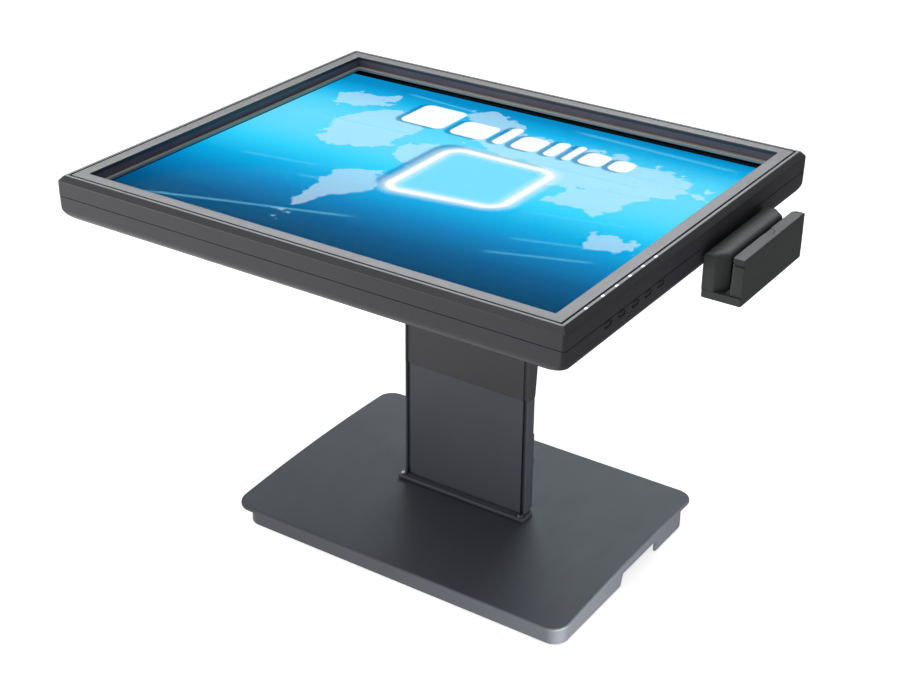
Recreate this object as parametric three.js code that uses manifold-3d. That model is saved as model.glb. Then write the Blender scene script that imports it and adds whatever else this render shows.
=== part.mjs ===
// Table-top touch terminal: a 19-inch touch display lying flat on a slim column,
// with a wedge-shaped foot, five keys in its right-hand edge and a card swipe
// reader hung on its right-hand side. The display tilts up about a hinge at the
// head of the column.
//
// Millimetres. +X runs along the display's width to the user's right, +Y away
// from the user, +Z up. Everything is laid out about the centre of the foot, and
// the whole is then shifted so that the origin is the middle of the footprint of
// its bounding box, on the table.

import * as THREE from 'three';
import { ConvexGeometry } from 'three/addons/geometries/ConvexGeometry.js';
import { mergeVertices } from 'three/addons/utils/BufferGeometryUtils.js';
import Module from 'manifold-3d';

const wasm = await Module();
wasm.setup();

// ---- driving dimensions ----------------------------------------------------

const GAP = 0.3; // between pieces that touch
const ARC_STEPS = 4; // straight steps in each rounded corner
const ROUND_STEPS = 16; // sides of a round piece

// Display head, in its own frame: origin at the middle of its top face, z down.
const DISPLAY_WIDTH = 416;
const DISPLAY_DEPTH = 352;
const DISPLAY_TOP_Z = 328.8;
const DISPLAY_Y = -40;
const CORNER = 4.5; // plan radius of the display's upright edges
const FACET = 3.7; // 45 degree facet round the top face
const BEZEL_HEIGHT = 14.9;
const BEZEL_BORDER = 16.5;
const BEZEL_TOP_WALL = 2.2;
const SHELL_WALL = 2.5;
const GROOVE_INSET = 6;
const GROOVE_WIDTH = 1.5;
const GROOVE_DEPTH = 1;
const SEAM_Z = -(BEZEL_HEIGHT + GAP);
const BELLY_Z = -33.8;
const HUMP_Z = -53.8;
const HUMP_Y = 10;
const GLASS_TOP_Z = -10.4;
const GLASS_THICK = 3;
const WINDOW_WIDTH = 391;
const WINDOW_DEPTH = 318;
const LCD_WIDTH = 392;
const LCD_DEPTH = 322;
const LCD_TOP_Z = -14.9;
const LCD_BOTTOM_Z = -25.4;
const VESA_PITCH = 100;

// Keys and indicator lights along the display's right edge.
const KEY_COUNT = 5;
const KEY_PITCH = 17.3;
const KEY_FIRST_Y = -123.1;
const KEY_Z = -17.8;
const KEY_LENGTH = 7;
const KEY_HEIGHT = 3;
const LIGHT_X = 203.2;
const POWER_LIGHT_Y = KEY_FIRST_Y - 20.7;

// Foot.
const BASE_WIDTH = 311;
const BASE_DEPTH = 218;
const BASE_CORNER = 14;
const BASE_FRONT_Z = 17.3;
const BASE_BACK_Z = 22.6;
const BASE_ARCH = 3.5;
const BASE_PLATE = 3.5;
const SKIRT_LEFT_X = -146;
const SKIRT_RIGHT_X = 153;
const SKIRT_FRONT_Y = -105.5;
const SKIRT_BACK_Y = 98;
const SKIRT_BOTTOM_Z = 1;
const NOTCH_FRONT_Y = -12;
const NOTCH_BACK_Y = 46;
const NOTCH_TOP_Z = 11;
const BALLAST_BOTTOM_Z = 6;
const BALLAST_TOP_Z = 12;
const FOOT_RADIUS = 10;

// Column.
const COLUMN_HALF = 58.4;
const COLUMN_FRONT_Y = -2.5;
const CHANNEL_INNER_X = 53.6;
const CHANNEL_OUTER_X = 57;
const COLUMN_FOOT_Z = 24.1;
const COLLAR_TOP_Z = 27.1;
const NECK_BOTTOM_Z = 131;
const NECK_TOP_Z = 243;
const SPINE_HALF = 42;
const SPINE_FRONT_Y = 0.3;
const SPINE_BACK_Y = 6.3;
const FLANGE_TOP_Z = BALLAST_TOP_Z + GAP + 4;

// Tilt hinge at the head of the column.
const HINGE_Y = 3.3;
const HINGE_Z = 255;
const SHAFT_RADIUS = 4;
const KNUCKLE_RADIUS = 9;
const ARM_INNER_X = 42.2;
const ARM_THICK = 5;
const WASHER_THICK = 4.7;

// Card reader, in its own frame: origin at the display's side, mid-length, bottom.
const READER_Y = 14;
const READER_Z = 278;
const READER_LENGTH = 98;
const READER_INNER = [1.5, 18.5];
const READER_OUTER = [21.8, 31.2];
const READER_FLOOR = 6;
const READER_HEIGHT = 34;
const HEAD_HALF = 4.5;

// ---- finishes --------------------------------------------------------------

const finish = (color, roughness, metalness = 0) =>
  new THREE.MeshStandardMaterial({ color, roughness, metalness });

const SHELL = () => finish(0x3b3b3f, 0.45);
const STAND = () => finish(0x47474d, 0.42);
const STEEL = () => finish(0x9a9da1, 0.35, 1);
const BLACK_STEEL = () => finish(0x222326, 0.5, 0.6);
const RUBBER = () => finish(0x1b1b1c, 0.85);
const FILTER = () => finish(0x16131b, 0.15);
const GLASS = () => finish(0x9fd8f0, 0.05);
const SCREEN = () => finish(0x1590d0, 0.3);
const BOARD = () => finish(0x1f5a36, 0.6);
const LIGHT = () => finish(0xe8eef2, 0.3);
const READER = () => finish(0x4a4b4c, 0.5);

// ---- geometry helpers ------------------------------------------------------

function toSolid(geometry) {
  const bare = geometry.clone();
  for (const name of Object.keys(bare.attributes)) {
    if (name !== 'position') bare.deleteAttribute(name);
  }
  const merged = mergeVertices(bare, 1e-4);
  const vertProperties = new Float32Array(merged.attributes.position.array);
  const triVerts = new Uint32Array(merged.index.array);
  return new wasm.Manifold(new wasm.Mesh({ numProp: 3, vertProperties, triVerts }));
}

function toGeometry(solid) {
  const mesh = solid.getMesh();
  const geometry = new THREE.BufferGeometry();
  geometry.setAttribute('position', new THREE.BufferAttribute(mesh.vertProperties, 3));
  geometry.setIndex(new THREE.BufferAttribute(mesh.triVerts, 1));
  geometry.computeVertexNormals();
  return geometry;
}

const join = (...solids) => solids.reduce((whole, next) => whole.add(next));
const cut = (solid, ...tools) => tools.reduce((rest, tool) => rest.subtract(tool), solid);

// A block between two opposite corners.
function block([x0, y0, z0], [x1, y1, z1]) {
  const geometry = new THREE.BoxGeometry(x1 - x0, y1 - y0, z1 - z0);
  geometry.translate((x0 + x1) / 2, (y0 + y1) / 2, (z0 + z1) / 2);
  return toSolid(geometry);
}

// A rectangle with rounded corners; corner radii run counter-clockwise from the
// corner at low x and low y.
function roundedRect([x0, y0], [x1, y1], radii) {
  const [a, b, c, d] = Array.isArray(radii) ? radii : [radii, radii, radii, radii];
  const shape = new THREE.Shape();
  shape.absarc(x0 + a, y0 + a, a, Math.PI, 1.5 * Math.PI);
  shape.absarc(x1 - b, y0 + b, b, 1.5 * Math.PI, 2 * Math.PI);
  shape.absarc(x1 - c, y1 - c, c, 0, 0.5 * Math.PI);
  shape.absarc(x0 + d, y1 - d, d, 0.5 * Math.PI, Math.PI);
  return shape;
}

const centredRect = (width, depth, radius, y = 0) =>
  roundedRect([-width / 2, y - depth / 2], [width / 2, y + depth / 2], radius);

// An outline in the XY plane, raised from z0 to z1.
function prism(shape, z0, z1) {
  const options = { depth: z1 - z0, bevelEnabled: false, curveSegments: ARC_STEPS };
  const geometry = new THREE.ExtrudeGeometry(shape, options);
  geometry.translate(0, 0, z0);
  return toSolid(geometry);
}

// A side profile given as [y, z] points, drawn out along X.
function profileX(points, x0, x1) {
  const shape = new THREE.Shape(points.map(([y, z]) => new THREE.Vector2(y, z)));
  const geometry = new THREE.ExtrudeGeometry(shape, { depth: x1 - x0, bevelEnabled: false });
  geometry.translate(0, 0, x0);
  const axes = new THREE.Matrix4().makeBasis(
    new THREE.Vector3(0, 1, 0),
    new THREE.Vector3(0, 0, 1),
    new THREE.Vector3(1, 0, 0),
  );
  geometry.applyMatrix4(axes);
  return toSolid(geometry);
}

// The convex body through rounded rectangles at different heights.
function loft(levels) {
  const points = [];
  for (const { shape, z } of levels) {
    for (const { x, y } of shape.getPoints(ARC_STEPS)) points.push(new THREE.Vector3(x, y, z));
  }
  return toSolid(new ConvexGeometry(points));
}

// A round bar along X or Z, between two stations.
function barX(radius, x0, x1, [y, z], sides = ROUND_STEPS) {
  const geometry = new THREE.CylinderGeometry(radius, radius, x1 - x0, sides);
  geometry.rotateZ(Math.PI / 2);
  geometry.translate((x0 + x1) / 2, y, z);
  return toSolid(geometry);
}

function barZ(radius, z0, z1, [x, y], sides = ROUND_STEPS) {
  const geometry = new THREE.CylinderGeometry(radius, radius, z1 - z0, sides);
  geometry.rotateX(Math.PI / 2);
  geometry.translate(x, y, (z0 + z1) / 2);
  return toSolid(geometry);
}

function place(parent, name, solid, material, position = [0, 0, 0]) {
  const mesh = new THREE.Mesh(toGeometry(solid), material);
  mesh.name = name;
  mesh.position.set(...position);
  parent.add(mesh);
}

// ---- foot ------------------------------------------------------------------

// Height of the foot's top face: it rises to the back and is gently arched.
function baseTop(y) {
  const t = y / (BASE_DEPTH / 2);
  const rise = (BASE_BACK_Z - BASE_FRONT_Z) / 2;
  return BASE_FRONT_Z + rise * (1 + t) + BASE_ARCH * (1 - t * t);
}

// Everything under the foot's top face lowered by `drop`, down to the height `floor(y)`.
function underBaseTop(drop, floor) {
  const steps = 12;
  const reach = BASE_DEPTH / 2 + 2;
  const stations = Array.from({ length: steps + 1 }, (_, i) => -reach + (2 * reach * i) / steps);
  const lower = stations.map((y) => [y, floor(y)]);
  const upper = stations.map((y) => [y, baseTop(y) - drop]).reverse();
  return profileX([...lower, ...upper], -BASE_WIDTH, BASE_WIDTH);
}

function baseCover() {
  const plan = prism(centredRect(BASE_WIDTH, BASE_DEPTH, BASE_CORNER), 0, 40);
  const plate = plan.intersect(underBaseTop(0, (y) => baseTop(y) - BASE_PLATE));
  const outer = roundedRect([SKIRT_LEFT_X, SKIRT_FRONT_Y], [SKIRT_RIGHT_X, SKIRT_BACK_Y], 12);
  const inner = roundedRect(
    [SKIRT_LEFT_X + SHELL_WALL, SKIRT_FRONT_Y + SHELL_WALL],
    [SKIRT_RIGHT_X - SHELL_WALL, SKIRT_BACK_Y - SHELL_WALL],
    9.5,
  );
  const ring = cut(prism(outer, 0, 40), prism(inner, -1, 41));
  const skirt = ring.intersect(underBaseTop(1, () => SKIRT_BOTTOM_Z));
  const notch = profileX(
    [
      [NOTCH_FRONT_Y, 0],
      [NOTCH_BACK_Y, 0],
      [NOTCH_BACK_Y, NOTCH_TOP_Z],
      [NOTCH_FRONT_Y + 3, NOTCH_TOP_Z],
    ],
    -BASE_WIDTH,
    BASE_WIDTH,
  );
  const spineSlot = block(
    [-SPINE_HALF - 0.5, SPINE_FRONT_Y - 0.5, 10],
    [SPINE_HALF + 0.5, SPINE_BACK_Y + 0.5, 30],
  );
  return cut(join(plate, skirt), notch, spineSlot);
}

const FLANGE_SCREWS = [-56, 56];

function ballastPlate() {
  const plan = roundedRect(
    [SKIRT_LEFT_X + 4, SKIRT_FRONT_Y + 4],
    [SKIRT_RIGHT_X - 4, SKIRT_BACK_Y - 4],
    8,
  );
  const plate = prism(plan, BALLAST_BOTTOM_Z, BALLAST_TOP_Z);
  const fingerRoom = [-1, 1].map((side) => {
    const reach = [126 * side, 160 * side].sort((a, b) => a - b);
    return block([reach[0], NOTCH_FRONT_Y - 3, 0], [reach[1], NOTCH_BACK_Y + 3, 20]);
  });
  const holes = FLANGE_SCREWS.map((x) => barZ(3, 0, 20, [x, HINGE_Y]));
  return cut(plate, ...fingerRoom, ...holes);
}

function flangeScrew() {
  const head = barZ(5, FLANGE_TOP_Z + GAP, FLANGE_TOP_Z + 2.6, [0, 0]);
  const shank = barZ(2.6, BALLAST_BOTTOM_Z + 0.5, FLANGE_TOP_Z + 1, [0, 0]);
  return join(head, shank);
}

function buildFoot(stand) {
  place(stand, 'base_cover', baseCover(), STAND());
  place(stand, 'base_steel_plate', ballastPlate(), BLACK_STEEL());
  const corners = [
    [-128, -84],
    [128, -84],
    [-128, 76],
    [128, 76],
  ];
  corners.forEach(([x, y], i) => {
    const foot = barZ(FOOT_RADIUS, 0, BALLAST_BOTTOM_Z - GAP, [0, 0]);
    place(stand, `rubber_foot_${i + 1}`, foot, RUBBER(), [x, y, 0]);
  });
  FLANGE_SCREWS.forEach((x, i) => {
    place(stand, `flange_screw_${i + 1}`, flangeScrew(), STEEL(), [x, HINGE_Y, 0]);
  });
}

// ---- column ----------------------------------------------------------------

function columnSpine() {
  const flange = prism(
    roundedRect([-70, -24], [70, 30], 6),
    BALLAST_TOP_Z + GAP,
    FLANGE_TOP_Z,
  );
  const holes = FLANGE_SCREWS.map((x) => barZ(3, 0, 30, [x, HINGE_Y]));
  const blade = block(
    [-SPINE_HALF, SPINE_FRONT_Y, FLANGE_TOP_Z - 1],
    [SPINE_HALF, SPINE_BACK_Y, NECK_TOP_Z],
  );
  return join(cut(flange, ...holes), blade);
}

// A side rail: a thin cheek, a channel between it and the front panel, and a lip
// behind the panel.
function sideRail(side) {
  const shape = new THREE.Shape();
  shape.moveTo(side * CHANNEL_OUTER_X, COLUMN_FRONT_Y + 0.4);
  shape.lineTo(side * (CHANNEL_OUTER_X + 0.4), COLUMN_FRONT_Y);
  shape.lineTo(side * (COLUMN_HALF - 0.4), COLUMN_FRONT_Y);
  shape.lineTo(side * COLUMN_HALF, COLUMN_FRONT_Y + 0.4);
  shape.lineTo(side * COLUMN_HALF, 6.6);
  shape.lineTo(side * 49, 6.6);
  shape.lineTo(side * 49, 0.2);
  shape.lineTo(side * CHANNEL_OUTER_X, 0.2);
  return prism(shape, COLUMN_FOOT_Z, NECK_BOTTOM_Z - GAP);
}

function frontPanel() {
  const top = NECK_BOTTOM_Z - GAP;
  return block([-CHANNEL_INNER_X, -2.1, COLUMN_FOOT_Z], [CHANNEL_INNER_X, -0.1, top]);
}

// Two-step cover of the cable channel: thicker in its lower, removable part, which
// carries a cable clip near its right-hand edge.
function rearPanel() {
  const stepZ = 98;
  const profile = [
    [6.9, COLLAR_TOP_Z + 1],
    [9.2, COLLAR_TOP_Z + 1],
    [9.2, stepZ - 1.5],
    [7.8, stepZ],
    [7.8, NECK_BOTTOM_Z - GAP],
    [6.9, NECK_BOTTOM_Z - GAP],
  ];
  const clip = [
    [9, 67],
    [11.2, 69],
    [11.2, 73],
    [9, 75],
  ];
  const panel = profileX(profile, -COLUMN_HALF + 0.2, COLUMN_HALF - 0.2);
  return join(panel, profileX(clip, 44, COLUMN_HALF - 0.8));
}

// Open at the back, where the cable channel ends.
function collar() {
  const plan = roundedRect([-61.5, -10], [61.5, 5.5], [2, 2, 0.8, 0.8]);
  const outer = prism(plan, COLUMN_FOOT_Z, COLLAR_TOP_Z);
  const opening = block([-COLUMN_HALF - 0.4, -2.9, 20], [COLUMN_HALF + 0.4, 9.6, 30]);
  return cut(outer, opening);
}

function collarScrew() {
  return loft([
    { shape: centredRect(5, 5, 2.4), z: COLLAR_TOP_Z + GAP },
    { shape: centredRect(4.4, 4.4, 2.1), z: COLLAR_TOP_Z + 1.2 },
    { shape: centredRect(2.4, 2.4, 1.1), z: COLLAR_TOP_Z + 1.8 },
  ]);
}

// The front half of the neck carries the channels of the side rails on, in shallower grooves.
function neckFront() {
  const outer = roundedRect([-COLUMN_HALF, COLUMN_FRONT_Y], [COLUMN_HALF, 3.2], [0.5, 0.5, 0.1, 0.1]);
  const hollow = block([-56.4, -0.2, 100], [56.4, 4, 300]);
  const grooves = [-1, 1].map((side) => {
    const [x0, x1] = [CHANNEL_INNER_X * side, CHANNEL_OUTER_X * side].sort((a, b) => a - b);
    return block([x0, COLUMN_FRONT_Y - 1, 100], [x1, COLUMN_FRONT_Y + 1.2, 300]);
  });
  return cut(prism(outer, NECK_BOTTOM_Z, NECK_TOP_Z), hollow, ...grooves);
}

// The rear half of the neck swells towards the hinge.
function neckRear() {
  const back = [
    [8.4, NECK_BOTTOM_Z],
    [10.3, 152],
    [12.5, 200],
    [12.5, NECK_TOP_Z],
  ];
  const wall = 1.6;
  const hollowBack = back.map(([y, z]) => [y - wall, z]);
  const outer = profileX([[3.5, NECK_TOP_Z], [3.5, NECK_BOTTOM_Z], ...back], -COLUMN_HALF, COLUMN_HALF);
  const hollow = profileX(
    [
      [3, NECK_TOP_Z + 1],
      [3, NECK_BOTTOM_Z - 1],
      [hollowBack[0][0], NECK_BOTTOM_Z - 1],
      ...hollowBack,
      [hollowBack[3][0], NECK_TOP_Z + 1],
    ],
    -56.4,
    56.4,
  );
  return cut(outer, hollow);
}

function buildColumn(stand) {
  place(stand, 'column_spine', columnSpine(), BLACK_STEEL());
  place(stand, 'side_rail_left', sideRail(-1), STAND());
  place(stand, 'side_rail_right', sideRail(1), STAND());
  place(stand, 'column_front_panel', frontPanel(), STAND());
  place(stand, 'column_rear_panel', rearPanel(), STAND());
  place(stand, 'column_collar', collar(), STAND());
  place(stand, 'collar_screw_left', collarScrew(), STEEL(), [-57, -6.4, 0]);
  place(stand, 'collar_screw_right', collarScrew(), STEEL(), [57, -6.4, 0]);
  place(stand, 'neck_cover_front', neckFront(), STAND());
  place(stand, 'neck_cover_rear', neckRear(), STAND());
}

// ---- hinge -----------------------------------------------------------------

const shaftBore = (x0, x1) => barX(SHAFT_RADIUS + GAP, x0, x1, [0, 0]);

// Two knuckles on a foot that sits on the column's spine.
function hingeBlock() {
  const bottom = NECK_TOP_Z + GAP - HINGE_Z;
  const sole = block([-SPINE_HALF, -8, bottom], [SPINE_HALF, 8, bottom + 4]);
  const knuckles = [-1, 1].map((side) => {
    const [x0, x1] = [20 * side, 41.7 * side].sort((a, b) => a - b);
    const web = block([x0, -8, bottom], [x1, 8, 0]);
    return join(web, barX(KNUCKLE_RADIUS, x0, x1, [0, 0]));
  });
  return cut(join(sole, ...knuckles), shaftBore(-60, 60));
}

function hingeShaft() {
  const pin = barX(SHAFT_RADIUS, -54, 57, [0, 0]);
  const head = barX(7.5, -56.4, -52.5, [0, 0]);
  return join(pin, head);
}

function hingeNut() {
  return cut(barX(7, 52.5, 56, [0, 0], 6), shaftBore(50, 60));
}

function hingeArm() {
  const plateBottom = DISPLAY_TOP_Z + HUMP_Z - GAP - 3 - HINGE_Z;
  const eye = barX(10, 0, ARM_THICK, [0, 0]);
  const strap = profileX(
    [
      [-10, 0],
      [10, 0],
      [11, plateBottom - GAP],
      [-22, plateBottom - GAP],
    ],
    0,
    ARM_THICK,
  );
  return cut(join(eye, strap), shaftBore(-1, ARM_THICK + 1));
}

function springWasher() {
  return cut(barX(8, 0, WASHER_THICK, [0, 0]), shaftBore(-1, 6));
}

function buildHinge(stand, display) {
  const axis = [0, HINGE_Y, HINGE_Z];
  place(stand, 'hinge_block', hingeBlock(), BLACK_STEEL(), axis);
  place(stand, 'hinge_shaft', hingeShaft(), STEEL(), axis);
  place(stand, 'hinge_nut', hingeNut(), STEEL(), axis);
  const washerX = ARM_INNER_X + ARM_THICK + GAP;
  place(stand, 'spring_washer_left', springWasher(), STEEL(), [-washerX - WASHER_THICK, HINGE_Y, HINGE_Z]);
  place(stand, 'spring_washer_right', springWasher(), STEEL(), [washerX, HINGE_Y, HINGE_Z]);
  const armY = HINGE_Y - DISPLAY_Y;
  const armZ = HINGE_Z - DISPLAY_TOP_Z;
  place(display, 'hinge_arm_left', hingeArm(), BLACK_STEEL(), [-ARM_INNER_X - ARM_THICK, armY, armZ]);
  place(display, 'hinge_arm_right', hingeArm(), BLACK_STEEL(), [ARM_INNER_X, armY, armZ]);
}

// ---- display head ----------------------------------------------------------

const vesaPoints = [
  [-VESA_PITCH / 2, HUMP_Y - VESA_PITCH / 2],
  [VESA_PITCH / 2, HUMP_Y - VESA_PITCH / 2],
  [-VESA_PITCH / 2, HUMP_Y + VESA_PITCH / 2],
  [VESA_PITCH / 2, HUMP_Y + VESA_PITCH / 2],
];

const keyPositions = Array.from({ length: KEY_COUNT }, (_, i) => KEY_FIRST_Y + KEY_PITCH * i);
const lightPositions = [POWER_LIGHT_Y, ...keyPositions];

// A display-sized outline, drawn in by `inset` all round.
const displayRing = (inset, radius) =>
  centredRect(DISPLAY_WIDTH - 2 * inset, DISPLAY_DEPTH - 2 * inset, radius);

function vesaPlate() {
  const plate = prism(centredRect(120, 124, 5, HUMP_Y), HUMP_Z - GAP - 3, HUMP_Z - GAP);
  return cut(plate, ...vesaPoints.map((point) => barZ(2.4, -70, -40, point, 12)));
}

function vesaScrew() {
  const plateBottom = HUMP_Z - GAP - 3;
  const head = barZ(4.2, plateBottom - 2.6, plateBottom - GAP, [0, 0], 12);
  return join(head, barZ(2, plateBottom - 1, -47, [0, 0], 12));
}

const KEY_RECESS_X = DISPLAY_WIDTH / 2 - 0.6;

// Openings in the electronics cover's back wall for the supply and signal sockets.
const INLET = { x: [-66, -54], z: [-48.7, -38.2] };
const VIDEO = { x: [-21, 11], z: [-49.5, -37] };
const USB = { x: [19, 33], z: [-49.5, -41.5] };

const socketRoom = ({ x, z }) =>
  block([x[0] - GAP, 96, z[0] - GAP], [x[1] + GAP, 120, z[1] + GAP]);

// Tray behind the panel, with the keys in its right-hand wall and a window in its
// floor under the electronics cover.
function rearCover() {
  const outer = loft([
    { shape: displayRing(0, CORNER), z: SEAM_Z },
    { shape: displayRing(0, CORNER), z: -24.8 },
    { shape: displayRing(2.2, 8), z: -30.2 },
    { shape: displayRing(6, 16), z: -32.8 },
    { shape: displayRing(12, 26), z: BELLY_Z },
  ]);
  const inner = loft([
    { shape: displayRing(SHELL_WALL, 3), z: SEAM_Z + 1 },
    { shape: displayRing(SHELL_WALL, 3), z: -24.5 },
    { shape: displayRing(7, 14), z: -30.3 },
    { shape: displayRing(14, 24), z: BELLY_Z + SHELL_WALL },
  ]);
  const keyRecesses = keyPositions.map((y) =>
    block([KEY_RECESS_X, y - 4.8, KEY_Z - 2.4], [DISPLAY_WIDTH / 2 + 1, y + 4.8, KEY_Z + 2.4]),
  );
  const keyHoles = keyPositions.map((y) =>
    block(
      [200, y - KEY_LENGTH / 2 - 0.4, KEY_Z - KEY_HEIGHT / 2 - GAP],
      [210, y + KEY_LENGTH / 2 + 0.4, KEY_Z + KEY_HEIGHT / 2 + GAP],
    ),
  );
  const boardWindow = prism(centredRect(200, 150, 8, HUMP_Y), -40, -28);
  return cut(outer, inner, boardWindow, ...keyRecesses, ...keyHoles);
}

// Cover of the boards under the tray, with the mounting bosses, vents and sockets.
function electronicsCover() {
  const hump = loft([
    { shape: centredRect(262, 206, 18, HUMP_Y), z: BELLY_Z - GAP },
    { shape: centredRect(244, 188, 15, HUMP_Y), z: HUMP_Z + 2 },
    { shape: centredRect(240, 184, 14, HUMP_Y), z: HUMP_Z },
  ]);
  const humpInner = loft([
    { shape: centredRect(258, 202, 16, HUMP_Y), z: BELLY_Z + 1 },
    { shape: centredRect(237, 181, 12, HUMP_Y), z: HUMP_Z + SHELL_WALL },
  ]);
  const bosses = vesaPoints.map((point) => barZ(5, HUMP_Z + 1, -45, point, 12));
  const screwHoles = vesaPoints.map((point) => barZ(2.4, -60, -40, point, 12));
  const vents = [-1, 1].flatMap((side) =>
    Array.from({ length: 6 }, (_, i) => {
      const x = side * (70 + 7 * i);
      return block([x - 1.5, HUMP_Y - 55, -60], [x + 1.5, HUMP_Y - 5, -50]);
    }),
  );
  const sockets = [INLET, VIDEO, USB].map(socketRoom);
  return cut(join(cut(hump, humpInner), ...bosses), ...screwHoles, ...vents, ...sockets);
}

function frontBezel() {
  const outer = loft([
    { shape: displayRing(0, CORNER), z: -BEZEL_HEIGHT },
    { shape: displayRing(0, CORNER), z: -FACET },
    { shape: displayRing(FACET, 1.8), z: 0 },
  ]);
  const cavity = prism(displayRing(SHELL_WALL + 0.5, 3), -BEZEL_HEIGHT - 1, -BEZEL_TOP_WALL);
  const opening = prism(displayRing(BEZEL_BORDER, 1.5), -BEZEL_HEIGHT - 1, 1);
  const groove = cut(
    prism(displayRing(GROOVE_INSET, 1.5), -GROOVE_DEPTH, 1),
    prism(displayRing(GROOVE_INSET + GROOVE_WIDTH, 1), -GROOVE_DEPTH - 1, 2),
  );
  const lightHoles = lightPositions.map((y) => barZ(1, -5, 1, [LIGHT_X, y], 8));
  return cut(outer, cavity, opening, groove, ...lightHoles);
}

// Dark strips that form the wall of the recess and hide the touch sensors.
function filterStrip(length, alongX) {
  const half = length / 2;
  const [top, bottom] = [-BEZEL_TOP_WALL - GAP, -8.8];
  return alongX ? block([-half, 0, bottom], [half, 1.8, top]) : block([0, -half, bottom], [1.8, half, top]);
}

// A flat rectangular frame between two outlines.
function flatFrame(outer, inner, z0, z1) {
  return cut(
    prism(centredRect(outer[0], outer[1], 2), z0, z1),
    prism(centredRect(inner[0], inner[1], 1), z0 - 1, z1 + 1),
  );
}

function slab(width, depth, z0, z1) {
  return block([-width / 2, -depth / 2, z0], [width / 2, depth / 2, z1]);
}

// Signal board with its processor's heat sink and its video and data sockets.
function mainBoard() {
  const pcb = block([-42, -20, -50.6], [42, 98, -49]);
  const heatSink = block([-22, 10, -49.5], [18, 50, -40]);
  const memory = block([22, 14, -49.5], [36, 44, -47]);
  const video = block([VIDEO.x[0], 88, VIDEO.z[0]], [VIDEO.x[1], 107.3, VIDEO.z[1]]);
  const usb = block([USB.x[0], 90, USB.z[0]], [USB.x[1], 107.3, USB.z[1]]);
  return join(pcb, heatSink, memory, video, usb);
}

// Supply board with its coils and capacitors.
function powerBoard() {
  const pcb = block([-104, 0, -50.6], [-57, 96, -49]);
  const coil = block([-98, 10, -49.5], [-80, 30, -38]);
  const capacitors = [40, 56, 72].map((y) => barZ(5.5, -49.5, -36, [-90, y], 10));
  return join(pcb, coil, ...capacitors);
}

function powerInlet() {
  const body = block([INLET.x[0], 88, INLET.z[0]], [INLET.x[1], 107.3, INLET.z[1]]);
  const middle = [(INLET.x[0] + INLET.x[1]) / 2, (INLET.z[0] + INLET.z[1]) / 2];
  const hole = barX(3.1, -109, -96, [0, 0], 10);
  const pin = barX(1, -105, -95, [0, 0], 6);
  const socket = cut(hole, pin).rotate([0, 0, -90]).translate([middle[0], 0, middle[1]]);
  return cut(body, socket);
}

function lightGuide() {
  const first = lightPositions[0];
  const last = lightPositions[lightPositions.length - 1];
  const rail = block([LIGHT_X - 0.8, first - 2, -12.2], [LIGHT_X + 0.8, last + 2, -10.2]);
  const pipes = lightPositions.map((y) => barZ(0.7, -11, -0.1, [LIGHT_X, y], 8));
  return join(rail, ...pipes);
}

function keyCap() {
  const outerX = DISPLAY_WIDTH / 2;
  const [halfY, halfZ] = [KEY_LENGTH / 2, KEY_HEIGHT / 2];
  const stem = block([201, -halfY, -halfZ], [outerX - 0.5, halfY, halfZ]);
  const crown = block([outerX - 1, -halfY + 0.6, -halfZ + 0.6], [outerX, halfY - 0.6, halfZ - 0.6]);
  const flange = block([204, -halfY - 1.2, -halfZ - 0.8], [205, halfY + 1.2, halfZ + 0.8]);
  return join(stem, crown, flange);
}

function buildDisplay(display) {
  place(display, 'rear_cover', rearCover(), SHELL());
  place(display, 'electronics_cover', electronicsCover(), SHELL());
  place(display, 'front_bezel', frontBezel(), SHELL());
  place(display, 'vesa_plate', vesaPlate(), BLACK_STEEL());
  vesaPoints.forEach(([x, y], i) => {
    place(display, `vesa_screw_${i + 1}`, vesaScrew(), STEEL(), [x, y, 0]);
  });

  const openHalfX = DISPLAY_WIDTH / 2 - BEZEL_BORDER;
  const openHalfY = DISPLAY_DEPTH / 2 - BEZEL_BORDER;
  const acrossX = 2 * (openHalfX + GAP + 1.8);
  const alongY = 2 * openHalfY;
  place(display, 'ir_filter_front', filterStrip(acrossX, true), FILTER(), [0, -openHalfY - GAP - 1.8, 0]);
  place(display, 'ir_filter_back', filterStrip(acrossX, true), FILTER(), [0, openHalfY + GAP, 0]);
  place(display, 'ir_filter_left', filterStrip(alongY, false), FILTER(), [-openHalfX - GAP - 1.8, 0, 0]);
  place(display, 'ir_filter_right', filterStrip(alongY, false), FILTER(), [openHalfX + GAP, 0, 0]);

  const retainer = flatFrame([400, 336], [376.4, 306.2], GLASS_TOP_Z + GAP, GLASS_TOP_Z + 1.3);
  place(display, 'glass_retainer', retainer, STEEL());
  place(display, 'touch_glass', slab(396, 330, GLASS_TOP_Z - GLASS_THICK, GLASS_TOP_Z), GLASS());
  const gasket = flatFrame([394, 324], [WINDOW_WIDTH, WINDOW_DEPTH], LCD_TOP_Z + GAP, LCD_TOP_Z + 1.2);
  place(display, 'screen_gasket', gasket, RUBBER());
  place(display, 'lcd_panel', slab(LCD_WIDTH, LCD_DEPTH, LCD_BOTTOM_Z, LCD_TOP_Z), SCREEN());
  place(display, 'chassis_plate', slab(396, 326, LCD_BOTTOM_Z - 1.6, LCD_BOTTOM_Z - 0.4), STEEL());
  place(display, 'main_board', mainBoard(), BOARD());
  place(display, 'power_board', powerBoard(), BOARD());
  place(display, 'power_inlet', powerInlet(), RUBBER());
  place(display, 'button_board', block([198.2, -150, -24], [199.4, -45, -14]), BOARD());
  place(display, 'light_guide', lightGuide(), LIGHT());
  keyPositions.forEach((y, i) => {
    place(display, `button_${i + 1}`, keyCap(), SHELL(), [0, y, KEY_Z]);
  });
}

// ---- card reader -----------------------------------------------------------

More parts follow.
